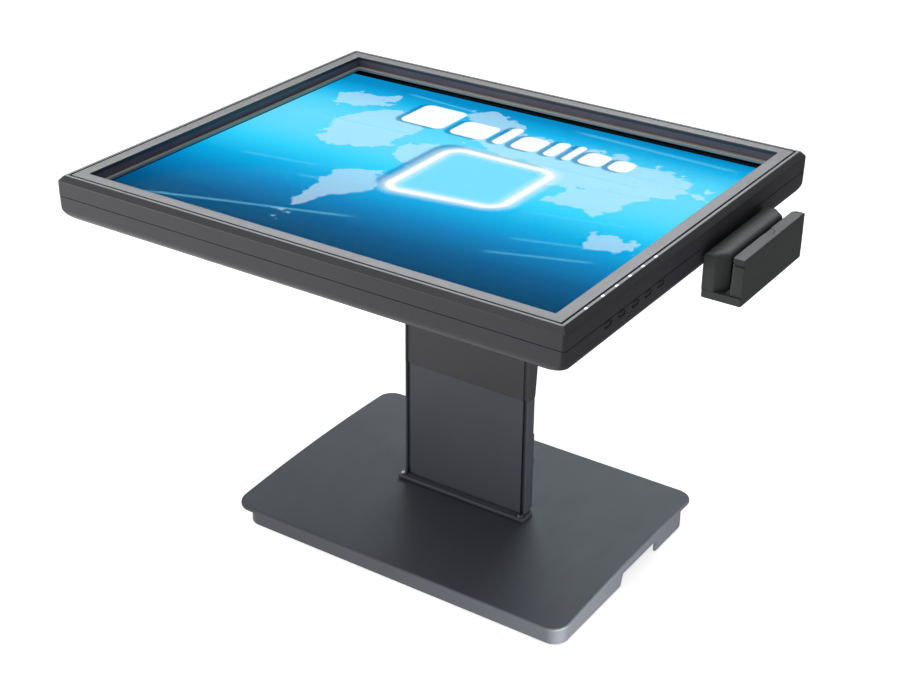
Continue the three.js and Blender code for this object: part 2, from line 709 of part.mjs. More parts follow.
// Inner housing: pillow-topped, its slot-side corners rounded to guide the card in.
function readerInner() {
  const half = READER_LENGTH / 2;
  const [x0, x1] = READER_INNER;
  const plan = (inset) =>
    roundedRect([x0 + inset, -half + inset], [x1 - inset, half - inset], [1, 9, 9, 1]);
  const body = loft([
    { shape: plan(0), z: READER_FLOOR + GAP },
    { shape: plan(0), z: READER_HEIGHT - 4 },
    { shape: plan(1.2), z: READER_HEIGHT - 1.6 },
    { shape: plan(3.4), z: READER_HEIGHT - 0.5 },
  ]);
  const chamber = block([4, -16, READER_FLOOR], [16.4, 16, 28]);
  const headWindow = block([15, -HEAD_HALF - 0.4, 13], [20, HEAD_HALF + 0.4, 23]);
  return cut(body, chamber, headWindow);
}

const lensOutline = (grow) => {
  const shape = new THREE.Shape();
  shape.absellipse(READER_OUTER[0] + 0.7 - grow, 5, 4.8 + 2 * grow, 6.5 + grow, -Math.PI / 2, Math.PI / 2);
  return shape;
};

// Outer housing: a flat-topped wall with a capped upper edge.
function readerOuter() {
  const [x0, x1] = READER_OUTER;
  const [y0, y1] = [-READER_LENGTH / 2 + 1, READER_LENGTH / 2 + 1.5];
  const plan = roundedRect([x0, y0], [x1, y1], [2.5, 0.8, 0.8, 4]);
  const capLine = cut(
    prism(roundedRect([x0 - 1, y0 - 1], [x1 + 1, y1 + 1], 1), READER_HEIGHT - 3.6, READER_HEIGHT - 3),
    prism(roundedRect([x0 + 0.5, y0 + 0.5], [x1 - 0.5, y1 - 0.5], [2.2, 0.6, 0.6, 3.6]), 20, 40),
  );
  const lensPocket = prism(lensOutline(GAP), READER_HEIGHT - 2.4, READER_HEIGHT + 1);
  return cut(prism(plan, READER_FLOOR + GAP, READER_HEIGHT), capLine, lensPocket);
}

function readerFloor() {
  const half = READER_LENGTH / 2;
  const tray = prism(
    roundedRect([READER_INNER[0], -half], [READER_OUTER[1], half + 1.5], [1, 1, 1, 3]),
    0,
    READER_FLOOR,
  );
  const ridge = profileX(
    [
      [-half + 3, READER_FLOOR - 1],
      [half - 3, READER_FLOOR - 1],
      [half - 5, READER_FLOOR + 2],
      [-half + 5, READER_FLOOR + 2],
    ],
    READER_INNER[1] + 0.5,
    READER_OUTER[0] - 0.5,
  );
  return join(tray, ridge);
}

// Angle bracket: one leg under the display's belly, one up the reader's back.
function readerBracket() {
  const bellyZ = DISPLAY_TOP_Z + BELLY_Z - READER_Z;
  const leg = block([-52, -20, bellyZ - 2.1], [1.2, 20, bellyZ - GAP]);
  const upright = block([0, -20, 1], [1.2, 20, bellyZ - GAP]);
  return join(leg, upright);
}

function buildReader(reader) {
  place(reader, 'reader_inner_housing', readerInner(), READER());
  place(reader, 'reader_outer_housing', readerOuter(), READER());
  place(reader, 'reader_floor', readerFloor(), READER());
  const lens = prism(lensOutline(0), READER_HEIGHT - 2.1, READER_HEIGHT);
  place(reader, 'reader_led_lens', lens, LIGHT());
  place(reader, 'reader_bracket', readerBracket(), BLACK_STEEL());
  place(reader, 'reader_board', block([5, -13, 8], [6.2, 13, 26]), BOARD());
  const head = block([12.5, -HEAD_HALF, 13.3], [READER_INNER[1] + 0.8, HEAD_HALF, 22.7]);
  place(reader, 'magnetic_head', head, STEEL());
  place(reader, 'head_spring', block([11.6, -14, 15], [12.2, 14, 21]), STEEL());
}

// ---- assembly --------------------------------------------------------------

const terminal = new THREE.Group();
const stand = new THREE.Group();
const display = new THREE.Group();
const reader = new THREE.Group();

display.position.set(0, DISPLAY_Y, DISPLAY_TOP_Z);
reader.position.set(DISPLAY_WIDTH / 2, READER_Y, READER_Z);
terminal.position.set(-READER_OUTER[1] / 2, -DISPLAY_Y, 0);
terminal.add(stand, display, reader);

buildFoot(stand);
buildColumn(stand);
buildHinge(stand, display);
buildDisplay(display);
buildReader(reader);

export default terminal;
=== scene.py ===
"""Looks of the table-top touch terminal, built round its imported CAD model.

Sizes are in millimetres about four origins that come from the CAD model: FOOT, the middle
of the foot on the table; HINGE, the middle of the tilt axis; HEAD, the middle of the
display's top face; and READER, the bottom of the card reader where it meets the display.
"""

import math

import bmesh
import bpy
from mathutils import Matrix, Vector


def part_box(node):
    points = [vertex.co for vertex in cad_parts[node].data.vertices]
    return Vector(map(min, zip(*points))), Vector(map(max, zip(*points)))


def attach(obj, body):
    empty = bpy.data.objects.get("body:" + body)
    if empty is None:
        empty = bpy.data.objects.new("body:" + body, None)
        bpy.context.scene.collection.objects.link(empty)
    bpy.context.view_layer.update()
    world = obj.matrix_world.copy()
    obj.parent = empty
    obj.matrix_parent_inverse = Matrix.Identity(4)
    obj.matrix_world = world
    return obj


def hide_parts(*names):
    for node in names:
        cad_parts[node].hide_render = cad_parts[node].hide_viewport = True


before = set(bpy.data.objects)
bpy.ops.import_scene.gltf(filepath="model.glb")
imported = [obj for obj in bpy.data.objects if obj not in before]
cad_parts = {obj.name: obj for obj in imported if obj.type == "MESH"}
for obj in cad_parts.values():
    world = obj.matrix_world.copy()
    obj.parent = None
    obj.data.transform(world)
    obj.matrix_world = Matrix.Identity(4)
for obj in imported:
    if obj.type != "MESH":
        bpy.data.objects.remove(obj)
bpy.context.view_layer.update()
scene = bpy.context.scene
scene.view_settings.view_transform = "Standard"

MM = 0.001
READER_GAP, READER_HALF = 1.5, 49.0

foot_low, foot_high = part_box("base_cover")
FOOT = Vector(((foot_low.x + foot_high.x) / 2, (foot_low.y + foot_high.y) / 2, 0.0))
bezel_low, bezel_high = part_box("front_bezel")
HEAD = Vector((FOOT.x, (bezel_low.y + bezel_high.y) / 2, bezel_high.z))
nut_low, nut_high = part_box("hinge_nut")
HINGE = Vector((FOOT.x, (nut_low.y + nut_high.y) / 2, (nut_low.z + nut_high.z) / 2))
floor_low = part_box("reader_floor")[0]
READER = Vector((floor_low.x - READER_GAP * MM, floor_low.y + READER_HALF * MM, floor_low.z))

# ---- camera ------------------------------------------------------------------

CAMERA_LENS = 67.92
CAMERA_AZIMUTH = math.radians(33.59)
CAMERA_ELEVATION = math.radians(27.65)
CAMERA_ROLL = math.radians(0.568)
CAMERA_DISTANCE = 1.3056
CAMERA_TARGET = FOOT + Vector((0, -25.08, 179.25)) * MM


def direction(azimuth, elevation):
    """Unit vector from the object to a viewer or light; azimuth 0 is straight in front."""
    flat = math.cos(elevation)
    return Vector((math.sin(azimuth) * flat, -math.cos(azimuth) * flat, math.sin(elevation)))


def add_camera():
    camera = bpy.data.objects.new("camera", bpy.data.cameras.new("camera"))
    scene.collection.objects.link(camera)
    camera.data.lens = CAMERA_LENS
    camera.data.clip_end = 50
    back = direction(CAMERA_AZIMUTH, CAMERA_ELEVATION)
    right = Vector((0, 0, 1)).cross(back).normalized()
    up = back.cross(right)
    turned_right = right * math.cos(CAMERA_ROLL) + up * math.sin(CAMERA_ROLL)
    turned_up = back.cross(turned_right)
    axes = Matrix((turned_right, turned_up, back)).transposed()
    camera.matrix_world = Matrix.Translation(CAMERA_TARGET + back * CAMERA_DISTANCE) @ axes.to_4x4()
    scene.camera = camera


add_camera()

# ---- material nodes ----------------------------------------------------------


def srgb(red, green, blue):
    """Linear colour of 8-bit display values."""

    def linear(value):
        share = value / 255
        return share / 12.92 if value < 11 else ((share + 0.055) / 1.055) ** 2.4

    return (linear(red), linear(green), linear(blue), 1.0)


class Graph:
    """A material with a Principled shader and short calls for the nodes that feed it."""

    def __init__(self, name, **inputs):
        self.material = bpy.data.materials.new(name)
        self.material.use_nodes = True
        self.tree = self.material.node_tree
        self.shader = self.tree.nodes["Principled BSDF"]
        for key, value in inputs.items():
            self.shader.inputs[key.replace("_", " ")].default_value = value
        self.coords = self.tree.nodes.new("ShaderNodeTexCoord").outputs["Object"]

    def feed(self, socket, value):
        if isinstance(value, bpy.types.NodeSocket):
            self.tree.links.new(value, socket)
        else:
            socket.default_value = value

    def to_shader(self, key, value):
        self.feed(self.shader.inputs[key], value)

    def math(self, operation, a, b=0.0, c=0.0, clamp=False):
        node = self.tree.nodes.new("ShaderNodeMath")
        node.operation = operation
        node.use_clamp = clamp
        for socket, value in zip(node.inputs, (a, b, c)):
            self.feed(socket, value)
        return node.outputs[0]

    def add(self, a, b):
        return self.math("ADD", a, b)

    def sub(self, a, b):
        return self.math("SUBTRACT", a, b)

    def mul(self, a, b):
        return self.math("MULTIPLY", a, b)

    def ramp_down(self, value, start, end):
        """1 below start, 0 above end, smooth between."""
        node = self.tree.nodes.new("ShaderNodeMapRange")
        node.interpolation_type = "SMOOTHSTEP"
        for socket, given in zip(node.inputs, (value, start, end, 1.0, 0.0)):
            self.feed(socket, given)
        return node.outputs[0]

    def mix(self, factor, a, b):
        node = self.tree.nodes.new("ShaderNodeMix")
        node.data_type = "RGBA"
        self.feed(node.inputs[0], factor)
        self.feed(node.inputs[6], a)
        self.feed(node.inputs[7], b)
        return node.outputs[2]

    def colour_ramp(self, factor, stops):
        node = self.tree.nodes.new("ShaderNodeValToRGB")
        elements = node.color_ramp.elements
        while len(elements) < len(stops):
            elements.new(0.5)
        for element, (position, colour) in zip(elements, stops):
            element.position = position
            element.color = colour
        self.feed(node.inputs[0], factor)
        return node.outputs[0]

    def scaled(self, x, y, z):
        node = self.tree.nodes.new("ShaderNodeMapping")
        self.feed(node.inputs["Vector"], self.coords)
        node.inputs["Scale"].default_value = (x, y, z)
        return node.outputs[0]

    def noise(self, scale, detail=3.0, vector=None):
        node = self.tree.nodes.new("ShaderNodeTexNoise")
        self.feed(node.inputs["Vector"], vector or self.coords)
        node.inputs["Scale"].default_value = scale
        node.inputs["Detail"].default_value = detail
        return node.outputs[0]

    def voronoi(self, scale, feature="F1"):
        node = self.tree.nodes.new("ShaderNodeTexVoronoi")
        node.feature = feature
        self.feed(node.inputs["Vector"], self.coords)
        node.inputs["Scale"].default_value = scale
        return node.outputs[0]

    def bump(self, height, distance, strength=1.0):
        node = self.tree.nodes.new("ShaderNodeBump")
        node.inputs["Strength"].default_value = strength
        node.inputs["Distance"].default_value = distance
        self.feed(node.inputs["Height"], height)
        self.to_shader("Normal", node.outputs[0])


def dimmer(colour, factor):
    return (*(c * factor for c in colour[:3]), 1.0)


def moulded(name, colour, roughness, grain=2200, relief=0.00003, **inputs):
    """Moulded plastic: a fine spark-eroded grain, slow drifts of tone and faint handling marks."""
    g = Graph(name, **inputs)
    drift = g.noise(14, 2)
    handled = g.noise(90, 4, g.scaled(1, 0.35, 1))
    tone = g.mix(drift, dimmer(colour, 0.88), dimmer(colour, 1.12))
    speck = g.math("GREATER_THAN", g.noise(grain / 2, 1), 0.68)
    g.to_shader("Base Color", g.mix(g.mul(speck, 0.25), tone, dimmer(colour, 1.6)))
    g.to_shader("Roughness", g.add(roughness - 0.05, g.mul(handled, 0.1)))
    g.bump(g.noise(grain, 2), relief)
    return g.material


def powder_coated(name, colour):
    g = Graph(name, Metallic=0.0)
    pebbles = g.voronoi(1400, "SMOOTH_F1")
    g.to_shader("Base Color", g.mix(g.noise(30), dimmer(colour, 0.8), dimmer(colour, 1.3)))
    g.to_shader("Roughness", g.add(0.42, g.mul(pebbles, 0.25)))
    g.bump(pebbles, 0.00006)
    return g.material


def plated(name, colour, roughness, stretch=(1, 1, 1), metallic=1.0):
    """Bare or plated metal with rolling or polishing lines along the short side of stretch."""
    g = Graph(name, Metallic=metallic)
    lines = g.noise(500, 4, g.scaled(*stretch))
    patches = g.noise(40, 3)
    g.to_shader("Base Color", g.mix(patches, dimmer(colour, 0.85), colour))
    g.to_shader("Roughness", g.add(roughness, g.mul(lines, 0.2)))
    g.bump(lines, 0.00001)
    return g.material


def rubbery(name, colour, scale=900):
    g = Graph(name)
    pores = g.noise(scale, 5)
    g.to_shader("Base Color", g.mix(pores, dimmer(colour, 0.7), dimmer(colour, 1.5)))
    g.to_shader("Roughness", g.add(0.7, g.mul(pores, 0.2)))
    g.bump(pores, 0.00005)
    return g.material


def circuit_board(name):
    """Green solder resist over copper tracks, with pale pads."""
    g = Graph(name)
    tracks = g.tree.nodes.new("ShaderNodeTexBrick")
    tracks.offset = 0.35
    for key, value in (("Scale", 60.0), ("Mortar Size", 0.012), ("Brick Width", 0.9), ("Row Height", 0.12)):
        tracks.inputs[key].default_value = value
    g.feed(tracks.inputs["Vector"], g.coords)
    pads = g.ramp_down(g.voronoi(320), 0.12, 0.16)
    resist = g.mix(tracks.outputs["Fac"], srgb(28, 92, 52), srgb(44, 128, 72))
    g.to_shader("Base Color", g.mix(pads, resist, srgb(196, 192, 170)))
    g.to_shader("Roughness", g.sub(0.5, g.mul(pads, 0.25)))
    g.bump(tracks.outputs["Fac"], 0.00004)
    return g.material


def dark_filter(name):
    """Infrared-passing strip: glossy, nearly black, with a purple cast and moulding waves."""
    g = Graph(name, Specular_IOR_Level=0.2)
    waves = g.noise(45, 2)
    g.to_shader("Base Color", g.mix(waves, srgb(96, 88, 98), srgb(116, 107, 118)))
    g.to_shader("Roughness", g.add(0.45, g.mul(waves, 0.12)))
    g.bump(waves, 0.0001)
    return g.material


def clear_glass(name):
    """Float glass with a faint green body tint and a few smears that change only its gloss."""
    g = Graph(name, IOR=1.45, Alpha=0.012, Specular_IOR_Level=0.15)
    smears = g.noise(22, 4, g.scaled(1, 0.3, 1))
    g.to_shader("Base Color", g.mix(smears, (0.02, 0.03, 0.03, 1), (0.05, 0.06, 0.06, 1)))
    g.to_shader("Roughness", g.mul(g.ramp_down(smears, 0.62, 0.4), 0.02))
    return g.material


def light_pipe(name):
    g = Graph(name)
    core = g.noise(800, 2)
    lit = g.mix(core, (0.85, 0.88, 0.92, 1), (1, 1, 1, 1))
    g.to_shader("Base Color", lit)
    g.to_shader("Emission Color", lit)
    g.shader.inputs["Emission Strength"].default_value = 0.55
    g.to_shader("Roughness", g.add(0.2, g.mul(core, 0.15)))
    return g.material


# ---- the picture on the screen -----------------------------------------------

# Edges of the lit picture in mm about the middle of the screen: left, right, far, near.
PICTURE_BOX = (-195.4, 189.0, 157.4, -150.5)

PANEL_DEPTH = 301
FADE_LEAN = 0.00012

# Colour down the picture, from its far edge (0) to its near edge (1).
PICTURE_FADE = (
    (0.0, srgb(0, 140, 200)),
    (0.08, srgb(18, 180, 236)),
    (0.17, srgb(78, 214, 251)),
    (0.28, srgb(104, 222, 253)),
    (0.40, srgb(92, 220, 255)),
    (0.50, srgb(48, 212, 255)),
    (0.62, srgb(1, 172, 230)),
    (0.73, srgb(1, 130, 192)),
    (0.84, srgb(1, 93, 144)),
    (1.0, srgb(1, 56, 90)),
)

# Pale patches: middle x and y, half sizes, all in mm about the middle of the screen.
PATCHES = (
    (-108, 62, 36, 44),
    (-146, 112, 26, 18),
    (-36, 128, 22, 17),
    (-46, 34, 16, 24),
    (-50, -34, 24, 26),
    (-62, -78, 9, 36),
    (86, 82, 78, 36),
    (18, 92, 34, 26),
    (108, 34, 26, 20),
    (152, -24, 16, 14),
)

# Streaks of light: start, end, half width, strength.
STREAKS = (
    (-172, -137, -6, -84, 1.8, 0.40),
    (-160, -36, -88, -24, 2.0, 0.22),
    (-98, -48, -32, -38, 1.8, 0.24),
    (86, -84, 164, -56, 1.6, 0.34),
    (90, -56, 160, -34, 1.6, 0.26),
    (80, -10, 158, 8, 1.8, 0.22),
    (-182, 60, -66, 68, 1.8, 0.30),
    (14, 70, 128, 73, 1.6, 0.34),
    (84, 52, 182, 62, 1.6, 0.30),
    (-132, 143, -20, 134, 1.6, 0.36),
    (24, 146, 176, 141, 2.4, 0.32),
    (60, 92, 178, 88, 1.4, 0.30),
)

# Blank white tiles in a row: left and right edges, far and near edges.
TILES = (
    (-100, -60, 131, 88),
    (-53, -20, 118, 87),
    (-14, -4, 126, 88),
    (2, 26, 116, 88),
    (31, 42, 120, 89),
    (48, 55, 121, 89),
    (60, 81, 115, 90),
    (85, 103, 113, 91),
)


# The glowing square: it is drawn on a square grid that its leaning near edge squeezes, and
# it throws a blue shadow to the left.
SQUARE_FAR_Y, SQUARE_NEAR_Y, SQUARE_NEAR_LEAN = 64.0, -29.228, 0.16
SQUARE_GRID = 49.0
SQUARE_BOX = (-31.5, 63.0, SQUARE_GRID, -SQUARE_GRID)
SQUARE_CORNER = 16.0
SQUARE_SHADOW_LEFT, SQUARE_SHADOW_UP = 10.0, 4.0

TILE_CORNER = 7.0
TILE_SHADOW_LEFT, TILE_SHADOW_DOWN = 3.4, 1.2


def rounded_box(g, x, y, box, radius):
    """Distance in mm outside a rounded box, negative inside."""
    x0, x1, y1, y0 = box
    reach_x = g.sub(g.math("ABSOLUTE", g.sub(x, (x0 + x1) / 2)), (x1 - x0) / 2 - radius)
    reach_y = g.sub(g.math("ABSOLUTE", g.sub(y, (y0 + y1) / 2)), (y1 - y0) / 2 - radius)
    dx, dy = g.math("MAXIMUM", reach_x, 0.0), g.math("MAXIMUM", reach_y, 0.0)
    return g.sub(g.math("SQRT", g.add(g.mul(dx, dx), g.mul(dy, dy))), radius)


def tile_row(g, x, y):
    nearest = None
    for box in TILES:
        radius = min(TILE_CORNER, (box[1] - box[0]) / 2 - 0.2)
        distance = rounded_box(g, x, y, box, radius)
        nearest = distance if nearest is None else g.math("MINIMUM", nearest, distance)
    return nearest


def streak(g, x, y, line):
    """Soft bar of light along a line that fades out at both ends."""
    x0, y0, x1, y1, half, strength = line
    length = math.hypot(x1 - x0, y1 - y0)
    ux, uy = (x1 - x0) / length, (y1 - y0) / length
    px, py = g.sub(x, x0), g.sub(y, y0)
    along = g.math("MULTIPLY_ADD", px, ux, g.mul(py, uy))
    across = g.math("ABSOLUTE", g.math("MULTIPLY_ADD", py, ux, g.mul(px, -uy)))
    middle = g.math("ABSOLUTE", g.sub(along, length / 2))
    body = g.ramp_down(across, half * 0.4, half * 1.3)
    return g.mul(g.mul(body, g.ramp_down(middle, length * 0.36, length * 0.5)), strength)


def lit_picture(name):
    """The liquid crystal panel: a blue picture of soft light inside a black border."""
    g = Graph(name, Roughness=0.5, Specular_IOR_Level=0.0)
    split = g.tree.nodes.new("ShaderNodeSeparateXYZ")
    g.feed(split.inputs[0], g.coords)
    x = g.mul(g.sub(split.outputs[0], HEAD.x), 1 / MM)
    y = g.mul(g.sub(split.outputs[1], HEAD.y), 1 / MM)

    ragged = g.add(g.mul(g.sub(g.noise(30, 2), 0.5), 40), g.mul(g.sub(g.noise(110, 6), 0.5), 26))
    down = g.math("MULTIPLY_ADD", y, -1 / PANEL_DEPTH, 0.5)
    lean = g.math("MULTIPLY_ADD", x, FADE_LEAN, down)
    picture = g.colour_ramp(lean, PICTURE_FADE)

    land = None
    for middle_x, middle_y, half_x, half_y in PATCHES:
        px = g.mul(g.sub(x, middle_x), 1 / half_x)
        py = g.mul(g.sub(y, middle_y), 1 / half_y)
        reach = g.math("SQRT", g.add(g.mul(px, px), g.mul(py, py)))
        inside = g.mul(g.sub(reach, 1.0), min(half_x, half_y))
        land = inside if land is None else g.math("MINIMUM", land, inside)
    land_mask = g.mul(g.ramp_down(g.add(land, ragged), -0.8, 0.8), 0.48)
    picture = g.mix(land_mask, picture, srgb(214, 242, 255))

    for line in STREAKS:
        picture = g.mix(streak(g, x, y, line), picture, srgb(120, 222, 252))

    near_edge = g.math("MULTIPLY_ADD", x, SQUARE_NEAR_LEAN, SQUARE_NEAR_Y)
    squeeze = g.math("DIVIDE", g.sub(SQUARE_FAR_Y, y), g.sub(SQUARE_FAR_Y, near_edge))
    square_y = g.math("MULTIPLY_ADD", squeeze, -2 * SQUARE_GRID, SQUARE_GRID)
    shadow_x, shadow_y = g.add(x, SQUARE_SHADOW_LEFT), g.sub(square_y, SQUARE_SHADOW_UP)
    shadow = rounded_box(g, shadow_x, shadow_y, SQUARE_BOX, SQUARE_CORNER)
    picture = g.mix(g.mul(g.ramp_down(shadow, -1.5, 3.5), 0.75), picture, srgb(0, 128, 190))
    glow = rounded_box(g, x, square_y, SQUARE_BOX, SQUARE_CORNER)
    picture = g.mix(g.ramp_down(glow, -0.5, 0.8), picture, srgb(120, 224, 252))
    halo = g.ramp_down(g.math("ABSOLUTE", g.add(glow, 2.0)), 1.0, 12.0)
    core = g.ramp_down(g.math("ABSOLUTE", g.add(glow, 2.2)), 1.6, 4.6)
    picture = g.mix(g.mul(halo, 0.65), picture, srgb(232, 250, 255))
    picture = g.mix(core, picture, srgb(255, 255, 255))

    tile_shadow = tile_row(g, g.add(x, TILE_SHADOW_LEFT), g.add(y, TILE_SHADOW_DOWN))
    dark_tiles = g.ramp_down(tile_shadow, -0.5, 3.0)
    picture = g.mix(g.mul(dark_tiles, 0.75), picture, srgb(0, 124, 184))
    picture = g.mix(g.ramp_down(tile_row(g, x, y), -0.4, 0.4), picture, srgb(252, 254, 255))

    edge = rounded_box(g, x, y, PICTURE_BOX, 0.5)
    picture = g.mix(g.ramp_down(edge, -0.2, 0.2), srgb(4, 4, 5), picture)
    g.to_shader("Base Color", g.mix(0.97, picture, srgb(6, 7, 9)))
    g.to_shader("Emission Color", picture)
    g.shader.inputs["Emission Strength"].default_value = 1.0
    return g.material


MATERIALS = {
    "stand_plastic": moulded("stand_plastic", srgb(63, 65, 73), 0.52),
    # Darker copy of the stand plastic for the neck covers: painted shade standing in for the display's shadow
    # across the top of the column.
    "neck_plastic_painted_shade": moulded("neck_plastic_painted_shade", srgb(53, 53, 57), 0.5),
    "black_steel": powder_coated("black_steel", srgb(34, 34, 37)),
    "rubber": rubbery("rubber", srgb(26, 26, 27)),
    "zinc_steel": plated("zinc_steel", srgb(152, 154, 158), 0.32),
    "display_plastic": moulded("display_plastic", srgb(56, 55, 60), 0.3),
    "ir_filter": dark_filter("ir_filter"),
    "retainer_aluminium": plated("retainer_aluminium", srgb(172, 170, 162), 0.55, (0.05, 1, 1), 0.6),
    "touch_glass": clear_glass("touch_glass"),
    "gasket": rubbery("gasket", srgb(16, 16, 17), 1500),
    "screen": lit_picture("screen"),
    "circuit_board": circuit_board("circuit_board"),
    "socket_plastic": moulded("socket_plastic", srgb(26, 26, 27), 0.4),
    "light_pipe": light_pipe("light_pipe"),
    "reader_plastic": moulded("reader_plastic", srgb(62, 64, 64), 0.48, grain=1500, relief=0.00006),
    "head_metal": plated("head_metal", srgb(190, 190, 186), 0.12, (1, 1, 0.1)),
}

# ---- mesh building -----------------------------------------------------------

CORNER_STEPS = 8

# Radius in mm of a corner that looks sharp.
SHARP = 0.0001


def rounded(x0, y0, x1, y1, radius, steps=CORNER_STEPS, cuts=()):
    """Rounded rectangle, counter-clockwise from its low corner. cuts are shares of the
    right-hand side, from front to back, where it gets further points; the left one matches."""
    radii = radius if isinstance(radius, tuple) else (radius,) * 4
    corners = ((x0, y0, 1, 1), (x1, y0, -1, 1), (x1, y1, -1, -1), (x0, y1, 1, -1))
    points = []
    for i, (cx, cy, sx, sy) in enumerate(corners):
        r = radii[i]
        for step in range(steps + 1):
            a = math.pi + (i + step / steps) * math.pi / 2
            points.append((cx + r * (sx + math.cos(a)), cy + r * (sy + math.sin(a))))
        if i == 1:
            low, high = y0 + radii[1], y1 - radii[2]
            points += [(x1, low + (high - low) * t) for t in cuts]
        if i == 3:
            low, high = y0 + radii[0], y1 - radii[3]
            points += [(x0, low + (high - low) * t) for t in reversed(cuts)]
    return points


def inset_box(width, depth, inset, radius, middle_y=0.0, **more):
    """Outline of a centred rounded box, drawn in by inset."""
    half_x, half_y = width / 2 - inset, depth / 2 - inset
    return rounded(-half_x, middle_y - half_y, half_x, middle_y + half_y, radius, **more)


def lift(outline, z):
    """The outline at a height, which may be a number or a function of y."""
    return [(x, y, z(y) if callable(z) else z) for x, y in outline]


def skin(sections, closed=False):
    """Faces through sections of equal length: joined up if closed, else capped at both ends."""
    count = len(sections[0])
    verts = [v for section in sections for v in section]
    faces = []
    for i in range(len(sections) - (not closed)):
        j = (i + 1) % len(sections)
        for k in range(count):
            m = (k + 1) % count
            faces.append((i * count + k, i * count + m, j * count + m, j * count + k))
    if not closed:
        faces.append(tuple(range(count)))
        faces.append(tuple(range(len(verts) - count, len(verts))))
    return verts, faces


def prism(outline, z0, z1, round_by=0.0, steps=3):
    """An outline raised from z0 to z1; round_by rounds its two rims by shrinking about its middle."""
    if not round_by:
        return skin([lift(outline, z0), lift(outline, z1)])
    mid_x = sum(p[0] for p in outline) / len(outline)
    mid_y = sum(p[1] for p in outline) / len(outline)
    half_x = max(abs(p[0] - mid_x) for p in outline)
    half_y = max(abs(p[1] - mid_y) for p in outline)

    def ring(inset, z):
        kx, ky = 1 - inset / half_x, 1 - inset / half_y
        return [(mid_x + (x - mid_x) * kx, mid_y + (y - mid_y) * ky, z) for x, y in outline]

    angles = [math.pi / 2 * s / steps for s in range(steps + 1)]
    low = [ring(round_by * (1 - math.sin(a)), z0 + round_by * (1 - math.cos(a))) for a in angles]
    high = [ring(round_by * (1 - math.cos(a)), z1 - round_by * (1 - math.sin(a))) for a in angles]
    return skin(low + high)


def box_shape(low, high):
    outline = rounded(low[0], low[1], high[0], high[1], SHARP, steps=1)
    return skin([lift(outline, low[2]), lift(outline, high[2])])


def turned(profile, closed=False, sides=48, centre=(0.0, 0.0)):
    """A round body about Z through (radius, height) pairs."""
    return skin([lift(circle(radius, sides, centre), z) for radius, z in profile], closed)


def along_x(shape):
    """The same shape with its own Z laid along X, its X along Y and its Y along Z."""
    verts, faces = shape
    return [(z, x, y) for x, y, z in verts], faces


def moved(shape, offset):
    verts, faces = shape
    return [(x + offset[0], y + offset[1], z + offset[2]) for x, y, z in verts], faces


def together(shapes):
    verts, faces = [], []
    for more_verts, more_faces in shapes:
        start = len(verts)
        verts += more_verts
        faces += [tuple(start + i for i in face) for face in more_faces]
    return verts, faces


def mesh_of(name, shape, origin):
    mesh = bpy.data.meshes.new(name)
    mesh.from_pydata([origin + Vector(v) * MM for v in shape[0]], [], shape[1])
    tidy_mesh(mesh)
    return mesh


def tidy_mesh(mesh, flat=False):
    bm = bmesh.new()
    bm.from_mesh(mesh)
    bmesh.ops.remove_doubles(bm, verts=bm.verts, dist=1e-6)
    if flat:
        bmesh.ops.dissolve_limit(bm, angle_limit=math.radians(1), verts=bm.verts, edges=bm.edges)
    bmesh.ops.recalc_face_normals(bm, faces=bm.faces)
    bm.to_mesh(mesh)
    bm.free()


def solve(obj, tool_shape, origin, operation):
    """Cuts tool_shape from obj, or joins it on, and keeps only the result."""
    tool = bpy.data.objects.new("tool", mesh_of("tool", tool_shape, origin))
    scene.collection.objects.link(tool)
    modifier = obj.modifiers.new("solve", "BOOLEAN")
    modifier.operation = operation
    modifier.solver = "EXACT"
    modifier.use_self = True
    modifier.object = tool
    evaluated = obj.evaluated_get(bpy.context.evaluated_depsgraph_get())
    result = bpy.data.meshes.new_from_object(evaluated)
    obj.modifiers.clear()
    obj.data = result
    bpy.data.objects.remove(tool)


pieces_by_slot = {}


def finish(obj, body, slot, replaces=(), bevel=0.0, crease=32):
    """Smooths, bevels and colours a piece, and says what it is in the frame."""
    pieces_by_slot.setdefault(slot, []).append(obj)
    obj.data.materials.clear()
    obj.data.materials.append(MATERIALS[slot])
    obj.data.shade_smooth()
    obj.data.set_sharp_from_angle(angle=math.radians(crease))
    if bevel:
        modifier = obj.modifiers.new("edges", "BEVEL")
        modifier.width = bevel * MM
        modifier.segments = 2
        modifier.limit_method = "ANGLE"
        modifier.angle_limit = math.radians(crease)
        modifier.harden_normals = True
    flatten = obj.modifiers.new("flat_faces", "WEIGHTED_NORMAL")
    flatten.keep_sharp = True
    flatten.weight = 90
    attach(obj, body)
    if replaces:
        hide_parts(*replaces)
    return obj


def build(name, shape, origin, body, slot, replaces=(), bevel=0.0, cut=(), join=(), crease=32):
    obj = bpy.data.objects.new(name, mesh_of(name, shape, origin))
    scene.collection.objects.link(obj)
    for part in join:
        solve(obj, part, origin, "UNION")
    if cut:
        solve(obj, together(cut), origin, "DIFFERENCE")
    return finish(obj, body, slot, replaces, bevel, crease)


def refine(node, body, slot, bevel=0.3, crease=32):
    """A CAD node whose shape is right: the same faces, merged where flat, with rounded edges."""
    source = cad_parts[node].data
    mesh = bpy.data.meshes.new(node)
    mesh.from_pydata([v.co for v in source.vertices], [], [tuple(p.vertices) for p in source.polygons])
    tidy_mesh(mesh, flat=True)
    obj = bpy.data.objects.new(node + "_finished", mesh)
    scene.collection.objects.link(obj)
    return finish(obj, body, slot, (node,), bevel, crease)


def hull(points):
    """Convex outline of 2-D points, counter-clockwise."""
    points = sorted(set(points))

    def half(run):
        chain = []
        for p in run:
            while len(chain) > 1:
                (ax, ay), (bx, by) = chain[-2], chain[-1]
                if (bx - ax) * (p[1] - ay) - (by - ay) * (p[0] - ax) > 0:
                    break
                chain.pop()
            chain.append(p)
        return chain[:-1]

    return half(points) + half(points[::-1])


